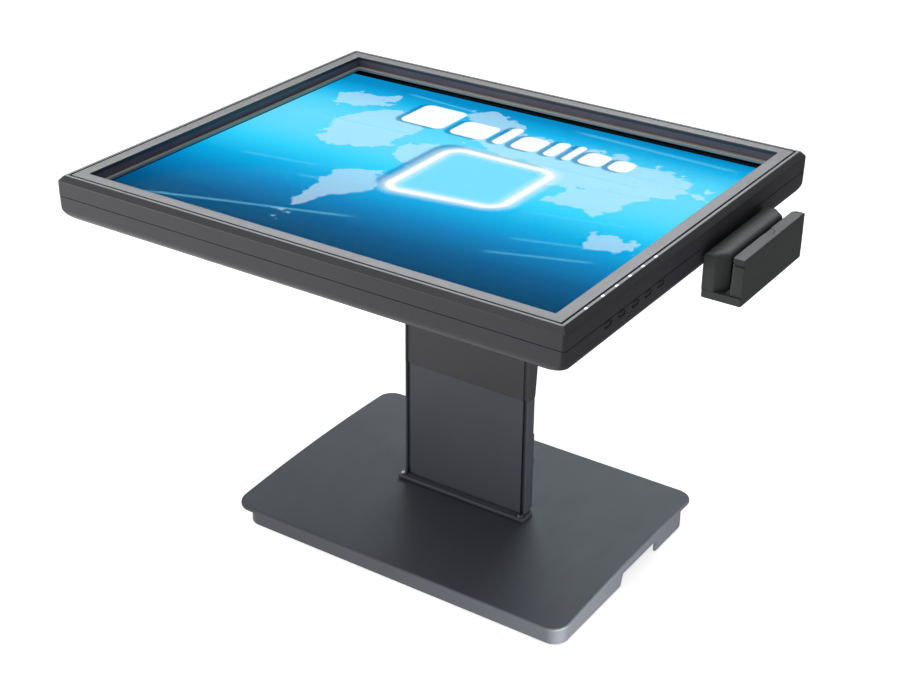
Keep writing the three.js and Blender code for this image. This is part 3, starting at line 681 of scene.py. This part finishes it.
def circle(radius, sides=40, centre=(0.0, 0.0)):
    angles = [2 * math.pi * i / sides for i in range(sides)]
    return [(centre[0] + radius * math.cos(a), centre[1] + radius * math.sin(a)) for a in angles]


def cross_recess(centre, top, size=1.5, depth=1.2, arm=0.5):
    """Two crossed slots that a cross-head driver fits, down from top or up if depth is negative."""
    x, y = centre
    low, high = sorted((top + math.copysign(0.5, depth), top - depth))
    return [
        box_shape((x - size, y - arm / 2, low), (x + size, y + arm / 2, high)),
        box_shape((x - arm / 2, y - size, low), (x + arm / 2, y + size, high)),
    ]


# ---- foot --------------------------------------------------------------------

BASE_WIDTH, BASE_DEPTH, BASE_CORNER = 311.0, 218.0, 14.0
BASE_FRONT_Z, BASE_BACK_Z, BASE_ARCH, BASE_PLATE = 17.3, 22.6, 3.5, 3.5
BASE_RIM = 1.6
SKIRT_LEFT_X, SKIRT_RIGHT_X, SKIRT_FRONT_Y, SKIRT_BACK_Y = -146.0, 153.0, -105.5, 98.0
SKIRT_CORNER = 12.0
SKIRT_BOTTOM_Z, SKIRT_WALL = 1.0, 2.5
NOTCH_FRONT_Y, NOTCH_BACK_Y, NOTCH_TOP_Z, NOTCH_SLOPE = -12.0, 46.0, 11.0, 3.5

# Where the foot's long sides get points, close together at the ends of the notch.
FOOT_STATIONS = (-84, -72, -60, -48, -36, -24, -12, -8.5, 0, 12, 24, 36, 45.2, 46, 46.4, 58, 70, 80)


def base_top(y):
    t = y / (BASE_DEPTH / 2)
    rise = (BASE_BACK_Z - BASE_FRONT_Z) / 2
    return BASE_FRONT_Z + rise * (1 + t) + BASE_ARCH * (1 - t * t)


def skirt_floor(y):
    """Lower edge of the skirt along its sides, with the finger notch."""
    if NOTCH_FRONT_Y <= y <= NOTCH_BACK_Y:
        climb = min(1.0, (y - NOTCH_FRONT_Y) / NOTCH_SLOPE)
        return SKIRT_BOTTOM_Z + (NOTCH_TOP_Z - SKIRT_BOTTOM_Z) * climb
    return SKIRT_BOTTOM_Z


def build_base_cover():
    low, high = SKIRT_FRONT_Y + SKIRT_CORNER, SKIRT_BACK_Y - SKIRT_CORNER
    cuts = [(y - low) / (high - low) for y in FOOT_STATIONS]

    def plate(inset, drop):
        radius = max(BASE_CORNER - inset, 1.5)
        outline = inset_box(BASE_WIDTH, BASE_DEPTH, inset, radius, cuts=cuts)
        return lift(outline, lambda y: base_top(y) - drop)

    def skirt(inset, z, scale=1.0):
        x0, x1 = (SKIRT_LEFT_X + inset) * scale, (SKIRT_RIGHT_X - inset) * scale
        y0, y1 = (SKIRT_FRONT_Y + inset) * scale, (SKIRT_BACK_Y - inset) * scale
        return lift(rounded(x0, y0, x1, y1, max(SKIRT_CORNER - inset, 9.0) * scale, cuts=cuts), z)

    def under(y):
        return base_top(y) - BASE_PLATE

    levels = [plate(inset, 0) for inset in (106, 98, 86, 72, 58, 44, 30, 20, 14, 9, 5, 2.6, BASE_RIM)]
    for angle in (0.3, 0.6, 0.95, 1.3, 1.57):
        levels.append(plate(BASE_RIM * (1 - math.sin(angle)), BASE_RIM * (1 - math.cos(angle))))
    levels += [plate(0, BASE_PLATE - 0.5), plate(0.15, BASE_PLATE - 0.15), plate(0.5, BASE_PLATE)]
    levels += [skirt(0, under), skirt(0, lambda y: skirt_floor(y) + 0.5)]
    levels += [skirt(0.15, lambda y: skirt_floor(y) + 0.15), skirt(0.5, skirt_floor)]
    levels += [skirt(SKIRT_WALL - 0.4, skirt_floor), skirt(SKIRT_WALL, lambda y: skirt_floor(y) + 0.4)]
    levels += [skirt(SKIRT_WALL, under, scale) for scale in (1.0, 0.85, 0.7, 0.5, 0.3, 0.1)]
    build("foot_cover", skin(levels), FOOT, "stand", "stand_plastic", ["base_cover"])


def build_foot():
    build_base_cover()
    refine("base_steel_plate", "stand", "black_steel", 0.5)
    pad = [(3.0, 0.8), (4.6, 0.8), (5.0, 0.2), (5.4, 0.0), (8.8, 0.0), (9.6, 0.3), (10.0, 1.0), (10.0, 2.4)]
    pad += [(9.4, 2.9), (9.4, 5.2), (9.0, 5.7)]
    for i in range(1, 5):
        low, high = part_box(f"rubber_foot_{i}")
        origin = Vector(((low.x + high.x) / 2, (low.y + high.y) / 2, low.z))
        build(f"foot_pad_{i}", turned(pad), origin, "stand", "rubber", [f"rubber_foot_{i}"])
    for i in (1, 2):
        refine(f"flange_screw_{i}", "stand", "zinc_steel", 0.4)


# ---- column ------------------------------------------------------------------


def build_column():
    refine("column_spine", "stand", "black_steel", 0.3)
    for side in ("left", "right"):
        refine(f"side_rail_{side}", "stand", "stand_plastic", 0.35)
        low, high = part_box(f"collar_screw_{side}")
        origin = Vector(((low.x + high.x) / 2, (low.y + high.y) / 2, low.z))
        dome = [(2.5, 0.0), (2.5, 0.5), (2.35, 0.9), (2.0, 1.2), (1.5, 1.4), (0.9, 1.5)]
        recess = cross_recess((0, 0), 1.5, size=1.2, depth=0.9)
        build(f"collar_screw_{side}_head", turned(dome), origin, "stand", "zinc_steel",
              [f"collar_screw_{side}"], cut=recess)
    refine("column_front_panel", "stand", "stand_plastic", 0.4)
    refine("column_rear_panel", "stand", "stand_plastic", 0.4)
    refine("column_collar", "stand", "stand_plastic", 0.6)
    for node in ("neck_cover_front", "neck_cover_rear"):
        cover = refine(node, "stand", "stand_plastic", 0.4)
        # The neck covers take the darker copy of the stand plastic, painted shade for the display's shadow
        # over them.
        cover.data.materials[0] = MATERIALS["neck_plastic_painted_shade"]


# ---- hinge -------------------------------------------------------------------

HINGE_TO_HUMP = (HINGE.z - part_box("vesa_plate")[0].z) / MM
BLOCK_BOTTOM_Z = -11.7
BORE_RADIUS = 4.3


def build_hinge():
    bore = along_x(turned([(BORE_RADIUS, -60), (BORE_RADIUS, 60)]))
    sole = box_shape((-42, -8, BLOCK_BOTTOM_Z), (42, 8, BLOCK_BOTTOM_Z + 4))
    cheek = hull(circle(9.0) + [(-8.0, BLOCK_BOTTOM_Z + 2), (8.0, BLOCK_BOTTOM_Z + 2)])
    knuckles = [along_x(prism(cheek, x0, x1)) for x0, x1 in ((-41.7, -20.0), (20.0, 41.7))]
    build("hinge_knuckles", sole, HINGE, "stand", "black_steel", ["hinge_block"], 0.5, [bore], knuckles)
    pin = [(6.6, -56.4), (7.5, -55.6), (7.5, -52.9), (7.2, -52.5), (4.0, -52.5), (4.0, 56.2), (3.3, 57.0)]
    build("hinge_pin", along_x(turned(pin)), HINGE, "stand", "zinc_steel", ["hinge_shaft"])
    refine("hinge_nut", "stand", "zinc_steel", 0.5)

    disc = [(BORE_RADIUS, 0.0), (8.0, 0.3), (8.0, 1.2), (7.0, 1.55), (8.0, 1.9), (8.0, 2.8)]
    disc += [(7.0, 3.15), (8.0, 3.5), (8.0, 4.4), (BORE_RADIUS, 4.7)]
    arm_top = -0.3 - HINGE_TO_HUMP
    strap = [(-9.9, 0.0), (9.9, 0.0), (11.0, arm_top), (-22.0, arm_top)]
    for side, sign in (("left", -1), ("right", 1)):
        stack = [(r, sign * (47.5 + z)) for r, z in disc]
        build(f"disc_springs_{side}", along_x(turned(stack, closed=True)), HINGE, "stand", "zinc_steel",
              [f"spring_washer_{side}"])
        x0, x1 = sorted((sign * 42.2, sign * 47.2))
        hole = along_x(turned([(BORE_RADIUS, x0 - 1), (BORE_RADIUS, x1 + 1)]))
        build(f"tilt_arm_{side}", along_x(prism(circle(10.0), x0, x1)), HINGE, "display_head", "black_steel",
              [f"hinge_arm_{side}"], 0.5, [hole], [along_x(prism(strap, x0, x1))])


# ---- display head ------------------------------------------------------------

WIDTH, DEPTH = 416.0, 352.0
SHELL = 2.5
BEZEL_BOTTOM_Z, BEZEL_WALL, BEZEL_LAND = -14.9, 3.0, 16.5
GROOVE_START, GROOVE_END, GROOVE_Z = 6.0, 7.1, -0.9
SEAM_Z = -15.2
BELLY_Z = -33.8
HUMP_Z = -53.8
HUMP_Y = 10.0
KEY_Z = -17.8
KEY_YS = [-123.1 + 17.3 * i for i in range(5)]
KEY_HALF_Y, KEY_HALF_Z = 3.5, 1.5
LIGHT_X = 203.2
FIRST_LIGHT_STEP = 20.7
MOUNT_HALF = 50

VENT_FIRST_X, VENT_PITCH, VENT_COUNT, VENT_HALF = 70, 7, 6, 1.5
# Rows of vents: front and back ends about the middle of the cover, and the height they reach.
VENT_ROWS = ((-55, -5, -50), (15, 65, -53.0))
# Windows for the power inlet and the video and data sockets: left, right, low and high edges.
SOCKET_WINDOWS = ((-66, -54, -48.7, -38.2), (-21, 11, -49.5, -37), (19, 33, -49.5, -41.5))
# Metal shells of the video and data sockets: left, right, low and high edges.
SOCKET_SHELLS = {"video": (-17, 7, -48, -38.6), "data": (19.6, 32.4, -48.9, -42.1)}


def frame_ring(profile, width=WIDTH, depth=DEPTH, corner=2.2):
    """A closed (inset, height) profile swept round the display; corner may grow with inset."""
    levels = []
    for inset, z, *more in profile:
        radius = more[0] if more else max(corner - inset, 0.8)
        levels.append(lift(inset_box(width, depth, inset, radius), z))
    return skin(levels, closed=True)


def build_bezel():
    outside = [(0.35, BEZEL_BOTTOM_Z), (0.1, -14.75), (0.0, -14.4), (0.0, -4.3), (0.1, -3.85), (0.4, -3.4)]
    facet = [(3.5, -0.22), (3.72, -0.06), (3.95, 0.0), (5.75, 0.0), (5.93, -0.1), (GROOVE_START, -0.35)]
    groove = [(GROOVE_START, GROOVE_Z), (GROOVE_END, GROOVE_Z), (7.15, -0.4), (7.3, -0.12), (7.6, 0.0)]
    inside = [(15.7, 0.0), (16.2, -0.12), (16.45, -0.4), (BEZEL_LAND, -0.9), (BEZEL_LAND, -2.2)]
    inside += [(BEZEL_WALL, -2.2), (BEZEL_WALL, BEZEL_BOTTOM_Z)]
    ring = frame_ring(outside + facet + groove + inside)
    build("bezel", ring, HEAD, "display_head", "display_plastic", ["front_bezel"], crease=40)


def rear_profile():
    """Inset, height and corner radius down the tray's outside, from the seam to the belly."""
    wall = [(SHELL, SEAM_Z, 1.5), (0.4, SEAM_Z, 2.2), (0.1, -15.3, 2.4), (0.0, -15.6, 2.5), (0.0, -24.4, 3.2)]
    belly = [(0.1, -25.8, 3.8), (0.45, -27.3, 4.8), (1.05, -28.7, 6.2), (1.9, -29.9, 7.8), (3.0, -31.0, 10.0)]
    belly += [(4.3, -31.9, 13.0), (6.0, -32.7, 16.0), (8.2, -33.3, 20.0), (10.6, -33.7, 24.0)]
    belly.append((13.0, BELLY_Z, 27.0))
    return wall + belly


def key_slot(y, half_y, half_z, x0, x1):
    outline = rounded(y - half_y, KEY_Z - half_z, y + half_y, KEY_Z + half_z, half_z - 0.01)
    return along_x(prism(outline, x0, x1))


def build_rear_cover():
    levels = [lift(inset_box(WIDTH, DEPTH, inset, radius), z) for inset, z, radius in rear_profile()]
    window = inset_box(200, 150, 0, 8, HUMP_Y)
    levels += [lift(window, BELLY_Z), lift(window, BELLY_Z + SHELL)]
    for inset, radius, z in ((14, 24, BELLY_Z + SHELL), (7, 14, -30.3), (SHELL, 3, -24.5)):
        levels.append(lift(inset_box(WIDTH, DEPTH, inset, radius), z))
    recesses = [key_slot(y, 4.7, 2.3, 207.4, 210) for y in KEY_YS]
    holes = [key_slot(y, 3.9, 1.8, 200, 210) for y in KEY_YS]
    tray = skin(levels, closed=True)
    build("rear_tray", tray, HEAD, "display_head", "display_plastic", ["rear_cover"], cut=[*recesses, *holes])


def build_electronics_cover():
    outer = [(262, 206, 18, BELLY_Z - 0.3), (246, 190, 15.5, -50.2), (244.6, 188.6, 15.1, -51.9)]
    outer += [(243, 187, 14.6, -53.0), (240, 184, 14.0, -53.6), (237, 181, 13.5, HUMP_Z)]
    inner = [(237, 181, 12, HUMP_Z + SHELL), (258, 202, 16, BELLY_Z - 0.3)]
    levels = [lift(inset_box(w, d, 0, r, HUMP_Y), z) for w, d, r, z in inner + outer]
    cuts = []
    for side in (-1, 1):
        for i in range(VENT_COUNT):
            x = side * (VENT_FIRST_X + VENT_PITCH * i)
            for front, back, top in VENT_ROWS:
                y0, y1 = HUMP_Y + front, HUMP_Y + back
                slot = rounded(x - VENT_HALF, y0, x + VENT_HALF, y1, VENT_HALF - 0.01)
                cuts.append(prism(slot, -60, top))
    for x in (-MOUNT_HALF, MOUNT_HALF):
        for y in (-MOUNT_HALF, MOUNT_HALF):
            cuts.append(turned([(2.4, -60), (2.4, -50)], centre=(x, HUMP_Y + y)))
    for x0, x1, z0, z1 in SOCKET_WINDOWS:
        cuts.append(box_shape((x0 - 0.3, 96, z0 - 0.3), (x1 + 0.3, 120, z1 + 0.3)))
    shell = skin(levels)
    build("board_cover", shell, HEAD, "display_head", "display_plastic", ["electronics_cover"], cut=cuts)


def build_sockets():
    """Metal shells round the video and data sockets, with their dark tongues."""
    refine("power_inlet", "display_head", "socket_plastic", 0.3)
    for name, (x0, x1, z0, z1) in SOCKET_SHELLS.items():
        middle_z = (z0 + z1) / 2
        shell = face_back(along_x(prism(rounded(x0, z0, x1, z1, 1.2), 105.0, 108.6)))
        mouth = rounded(x0 + 0.6, z0 + 0.6, x1 - 0.6, z1 - 0.6, 0.8)
        hollow = face_back(along_x(prism(mouth, 107.4, 110)))
        blade = rounded(x0 + 1.8, middle_z - 1, x1 - 1.8, middle_z + 1, 0.3)
        tongue = face_back(along_x(prism(blade, 106, 108.2)))
        build(f"{name}_socket_shell", shell, HEAD, "display_head", "zinc_steel", cut=[hollow])
        build(f"{name}_socket_tongue", tongue, HEAD, "display_head", "socket_plastic")
    post = [(1.5, 106), (1.5, 108.4), (1.2, 108.7)]
    for side, x in (("left", -19.4), ("right", 9.4)):
        shape = face_back(along_x(turned(post, sides=6, centre=(x, -43.3))))
        build(f"video_post_{side}", shape, HEAD, "display_head", "zinc_steel")


def face_back(shape):
    """Turns a shape built along X, with across in Y, so that it runs along Y with across in X."""
    verts, faces = shape
    return [(y, x, z) for x, y, z in verts], faces


def build_glazing():
    # The clamp's inner lip stands up a little inside the filter strips.
    clamp = [(0.3, 0.3, -9.1), (0.0, 0.0, -9.4), (0.0, 0.0, -10.1), (11.6, 12.7, -10.1), (11.6, 12.7, -8.3)]
    clamp += [(11.3, 12.4, -7.95), (10.9, 12.0, -7.9), (9.0, 8.9, -7.9), (8.7, 8.6, -8.2), (8.7, 8.6, -9.1)]
    levels = [lift(rounded(-200 + i, -168 + j, 200 - i, 168 - j, 1.5), z) for i, j, z in clamp]
    ring = skin(levels, closed=True)
    build("glass_clamp", ring, HEAD, "display_head", "retainer_aluminium", ["glass_retainer"])
    pane = prism(inset_box(396, 330, 0, 2), -13.4, -10.4, 0.4)
    build("glass_pane", pane, HEAD, "display_head", "touch_glass", ["touch_glass"])
    foam = [(0, -13.9), (0, -14.6), (1.5, -14.6), (1.5, -13.9), (1.2, -13.7), (0.3, -13.7)]
    levels = [lift(rounded(-197 + i, -162 + 2 * i, 197 - i, 162 - 2 * i, 1.5), z) for i, z in foam]
    build("foam_gasket", skin(levels, closed=True), HEAD, "display_head", "gasket", ["screen_gasket"])
    panel = prism(inset_box(392, 322, 0, 2), -25.4, -14.9, 0.5)
    build("picture_panel", panel, HEAD, "display_head", "screen", ["lcd_panel"])
    for side in ("front", "back", "left", "right"):
        refine(f"ir_filter_{side}", "display_head", "ir_filter", 0.35)


def build_controls():
    crown = [(0.0, 201.0), (0.0, 207.1), (0.12, 207.5), (0.4, 207.8), (0.8, 207.97), (1.2, 208.0)]
    for i, y in enumerate(KEY_YS, start=1):
        levels = []
        for inset, x in crown:
            half_y, half_z = KEY_HALF_Y - inset, KEY_HALF_Z - inset * 0.9
            levels.append([(u, v, x) for u, v in rounded(-half_y, -half_z, half_y, half_z, half_z - 0.01)])
        cap = moved(along_x(skin(levels)), (0, y, KEY_Z))
        build(f"key_cap_{i}", cap, HEAD, f"key_{i}", "display_plastic", [f"button_{i}"], crease=50)
    lights = [KEY_YS[0] - FIRST_LIGHT_STEP, *KEY_YS]
    for i, y in enumerate(lights):
        lens = prism(rounded(LIGHT_X - 0.9, y - 1.7, LIGHT_X + 0.9, y + 1.7, 0.89), -0.9, 0.12, 0.25)
        build(f"light_lens_{i}", lens, HEAD, "display_head", "light_pipe")
    refine("light_guide", "display_head", "light_pipe", 0.1)
    refine("button_board", "display_head", "circuit_board", 0.1)


def build_mounting():
    refine("vesa_plate", "display_head", "black_steel", 0.5)
    refine("chassis_plate", "display_head", "zinc_steel", 0.3)
    refine("main_board", "display_head", "circuit_board", 0.15)
    refine("power_board", "display_head", "circuit_board", 0.15)
    for i in range(1, 5):
        low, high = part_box(f"vesa_screw_{i}")
        origin = Vector(((low.x + high.x) / 2, (low.y + high.y) / 2, low.z))
        reach = (high.z - low.z) / MM
        screw = [(2.6, 0.0), (3.6, 0.4), (4.1, 1.0), (4.2, 1.6), (4.2, 2.3), (2.0, 2.3), (2.0, reach - 0.6)]
        screw.append((1.6, reach))
        build(f"mount_screw_{i}", turned(screw), origin, "display_head", "zinc_steel", [f"vesa_screw_{i}"],
              cut=cross_recess((0, 0), 0, size=2.2, depth=-1.4, arm=0.8))


# ---- card reader -------------------------------------------------------------

READER_TOP = 34.0
LENS_X, LENS_Y = 22.5, 5.0


def lens_outline(grow):
    """Half an oval with its flat side at the slot, made larger by grow."""
    steps = 24
    angles = [-math.pi / 2 + math.pi * i / steps for i in range(steps + 1)]
    half_x, half_y = 4.8 + 2 * grow, 6.5 + grow
    return [(LENS_X - grow + half_x * math.cos(a), LENS_Y + half_y * math.sin(a)) for a in angles]


def build_reader():
    def inner(inset, z):
        """Plan with its two slot-side corners cut off at 45 degrees."""
        x0, x1, half = READER_GAP + inset, 18.5 - inset, READER_HALF - inset
        cut_x, cut_y = 10.5 - 0.414 * inset, READER_HALF - 8.0 - 0.414 * inset
        near = [(x0, -half), (cut_x, -half), (x1, -cut_y)]
        return lift(near + [(x, -y) for x, y in reversed(near)], z)

    crown = [(0.0, 6.05), (0.0, 30.2), (0.15, 31.1), (0.5, 31.9), (1.1, 32.6), (1.9, 33.1), (3.2, 33.45)]
    crown.append((6.2, 33.6))
    levels = [inner(inset, z) for inset, z in crown]
    chamber = box_shape((4, -16, 6), (16.4, 16, 27))
    window = box_shape((15, -4.9, 13), (20, 4.9, 23))
    build("reader_inner", skin(levels), READER, "display_head", "reader_plastic", ["reader_inner_housing"],
          cut=[chamber, window], bevel=0.35, crease=30)

    def outer(inset, z, entry, near=0.0):
        x0, x1, y0, y1 = 21.8 + inset, 31.2 - inset, -48.0 + inset + near, 50.5 - inset
        radii = (entry, max(1.0 - inset, 0.3), max(1.0 - inset, 0.3), 4.0)
        return lift(rounded(x0, y0, x1, y1, radii), z)

    levels = [outer(0, 6.05, 1.0), outer(0, 28.4, 3.0), outer(0, 28.5, 3.0, 0.9)]
    levels += [outer(0, 30.9, 2.6, 0.9), outer(0, 31.0, 2.6), outer(0, 33.2, 2.6), outer(0.2, 33.65, 2.5)]
    levels += [outer(0.5, 33.9, 2.3), outer(0.9, READER_TOP, 2.0)]
    lens_pocket = prism(lens_outline(0.3), READER_TOP - 2.4, READER_TOP + 1)
    pin_hole = turned([(0.75, 32.2), (0.75, 35)], sides=24, centre=(25.8, 47.4))
    build("reader_outer", skin(levels), READER, "display_head", "reader_plastic", ["reader_outer_housing"],
          cut=[lens_pocket, pin_hole], crease=40)

    tray = [(0.7, 0.0), (0.2, 0.2), (0.0, 0.7), (0.0, 6.0)]
    corners = (1.2, 1.2, 1.2, 3.0)
    levels = []
    for inset, z in tray:
        x0, y0 = READER_GAP + inset, -READER_HALF + inset
        levels.append(lift(rounded(x0, y0, 31.2 - inset, 50.5 - inset, corners), z))
    ridge = along_x(prism([(-48.6, 5.0), (48.6, 5.0), (44, 8.0), (-44, 8.0)], 19.0, 21.3))
    base = skin(levels)
    build("reader_base", base, READER, "display_head", "reader_plastic", ["reader_floor"], join=[ridge])
    lens = prism(lens_outline(0), READER_TOP - 2.1, READER_TOP - 0.1, 0.3)
    build("reader_lens", lens, READER, "display_head", "reader_plastic", ["reader_led_lens"])
    refine("reader_bracket", "display_head", "black_steel", 0.3)
    refine("reader_board", "display_head", "circuit_board", 0.1)
    refine("magnetic_head", "swipe_head", "head_metal", 0.6)
    refine("head_spring", "swipe_head", "zinc_steel", 0.15)


build_foot()
build_column()
build_hinge()
build_bezel()
build_rear_cover()
build_electronics_cover()
build_sockets()
build_glazing()
build_controls()
build_mounting()
build_reader()

# ---- floor, world and lights -------------------------------------------------


FLOOR_HALF, FLOOR_DROP, FLOOR_GLOW = 30.0, 0.0002, 0.78


def add_floor():
    """A pale floor just under the pads, which doesn't show in reflections."""
    mesh = bpy.data.meshes.new("floor")
    outline = [(-FLOOR_HALF, -FLOOR_HALF), (FLOOR_HALF, -FLOOR_HALF), (FLOOR_HALF, FLOOR_HALF)]
    outline.append((-FLOOR_HALF, FLOOR_HALF))
    mesh.from_pydata(lift(outline, 0), [], [(0, 1, 2, 3)])
    floor = bpy.data.objects.new("floor", mesh)
    scene.collection.objects.link(floor)
    g = Graph("floor", Roughness=0.9)
    g.to_shader("Base Color", g.mix(g.noise(3, 2), (0.93, 0.93, 0.93, 1), (0.96, 0.96, 0.96, 1)))
    g.shader.inputs["Emission Color"].default_value = (1, 1, 1, 1)
    g.shader.inputs["Emission Strength"].default_value = FLOOR_GLOW
    mesh.materials.append(g.material)
    floor.location.z = -FLOOR_DROP
    floor.visible_glossy = False


# Brightness of the surroundings from their left (0) to their right (1), below and above the
# height of the table. The world stands in for the pale table in reflections, because the
# floor doesn't show in them, so the faces that look left mirror it and the right ones don't.
BELOW_TABLE = ((0.14, 1.5), (0.2, 1.1), (0.3, 0.5), (0.44, 0.09), (0.6, 0.07))
ABOVE_TABLE = ((0.3, 0.62), (0.5, 0.5), (0.72, 0.16))


def add_world():
    """Soft studio surroundings: bright above and to the left, dark to the right."""
    world = bpy.data.worlds.new("studio")
    world.use_nodes = True
    tree = world.node_tree
    way = tree.nodes.new("ShaderNodeTexCoord")
    split = tree.nodes.new("ShaderNodeSeparateXYZ")
    tree.links.new(way.outputs["Generated"], split.inputs[0])

    def map_range(socket, low, high):
        node = tree.nodes.new("ShaderNodeMapRange")
        tree.links.new(socket, node.inputs[0])
        node.inputs[1].default_value, node.inputs[2].default_value = low, high
        return node.outputs[0]

    def tones(steps):
        node = tree.nodes.new("ShaderNodeValToRGB")
        elements = node.color_ramp.elements
        while len(elements) < len(steps):
            elements.new(0.5)
        for element, (position, tone) in zip(elements, steps):
            element.position, element.color = position, (tone, tone, tone, 1)
        tree.links.new(map_range(split.outputs[0], -1.0, 1.0), node.inputs[0])
        return node.outputs[0]

    blend = tree.nodes.new("ShaderNodeMix")
    blend.data_type = "RGBA"
    tree.links.new(map_range(split.outputs[2], -0.05, 0.25), blend.inputs[0])
    tree.links.new(tones(BELOW_TABLE), blend.inputs[6])
    tree.links.new(tones(ABOVE_TABLE), blend.inputs[7])
    tree.links.new(blend.outputs[2], tree.nodes["Background"].inputs["Color"])
    scene.world = world


def softbox(name, azimuth, elevation, distance, size, radiance, colour=(1, 1, 1), aim=0.2, lit=()):
    """A flat light of the given width, height and brightness that faces the point at height
    aim over the foot; it lights only the pieces in lit, if there are any."""
    data = bpy.data.lights.new(name, "AREA")
    data.shape = "RECTANGLE"
    data.size, data.size_y = size
    data.energy = radiance * math.pi * size[0] * size[1]
    data.color = colour
    light = bpy.data.objects.new(name, data)
    scene.collection.objects.link(light)
    towards = direction(math.radians(azimuth), math.radians(elevation))
    light.location = FOOT + Vector((0, 0, aim)) + towards * distance
    light.rotation_euler = towards.to_track_quat("Z", "Y").to_euler()
    if lit:
        light.light_linking.receiver_collection = bpy.data.collections.new(name)
        for obj in lit:
            light.light_linking.receiver_collection.objects.link(obj)


add_floor()
add_world()
stand_shells = pieces_by_slot["stand_plastic"]
column_shells = [obj for obj in stand_shells if obj.name != "foot_cover"]
others = []
for slot, group in pieces_by_slot.items():
    if slot != "stand_plastic":
        others += group
softbox("overhead", 0, 88, 2.4, (2.6, 2.6), 0.9)
softbox("behind_head", 228, 36, 2.2, (2.6, 0.9), 3.8, (0.94, 0.98, 1.0), lit=others)
softbox("behind_stand", 200, 36, 2.2, (1.3, 0.9), 3.7, (0.82, 0.95, 1.0), lit=stand_shells)
softbox("front_left", -42, 14, 2.4, (1.4, 1.0), 2.4, lit=others + column_shells)
softbox("front_stand", -20, 4, 2.0, (1.0, 0.6), 2.6, lit=column_shells)
softbox("right_stand", 80, 6, 1.5, (0.8, 0.8), 8.0, lit=stand_shells)
softbox("low_right", 62, 1, 0.52, (0.4, 0.024), 230.0, (1.0, 1.0, 0.92), aim=0.003,
        lit=[bpy.data.objects["foot_cover"]])
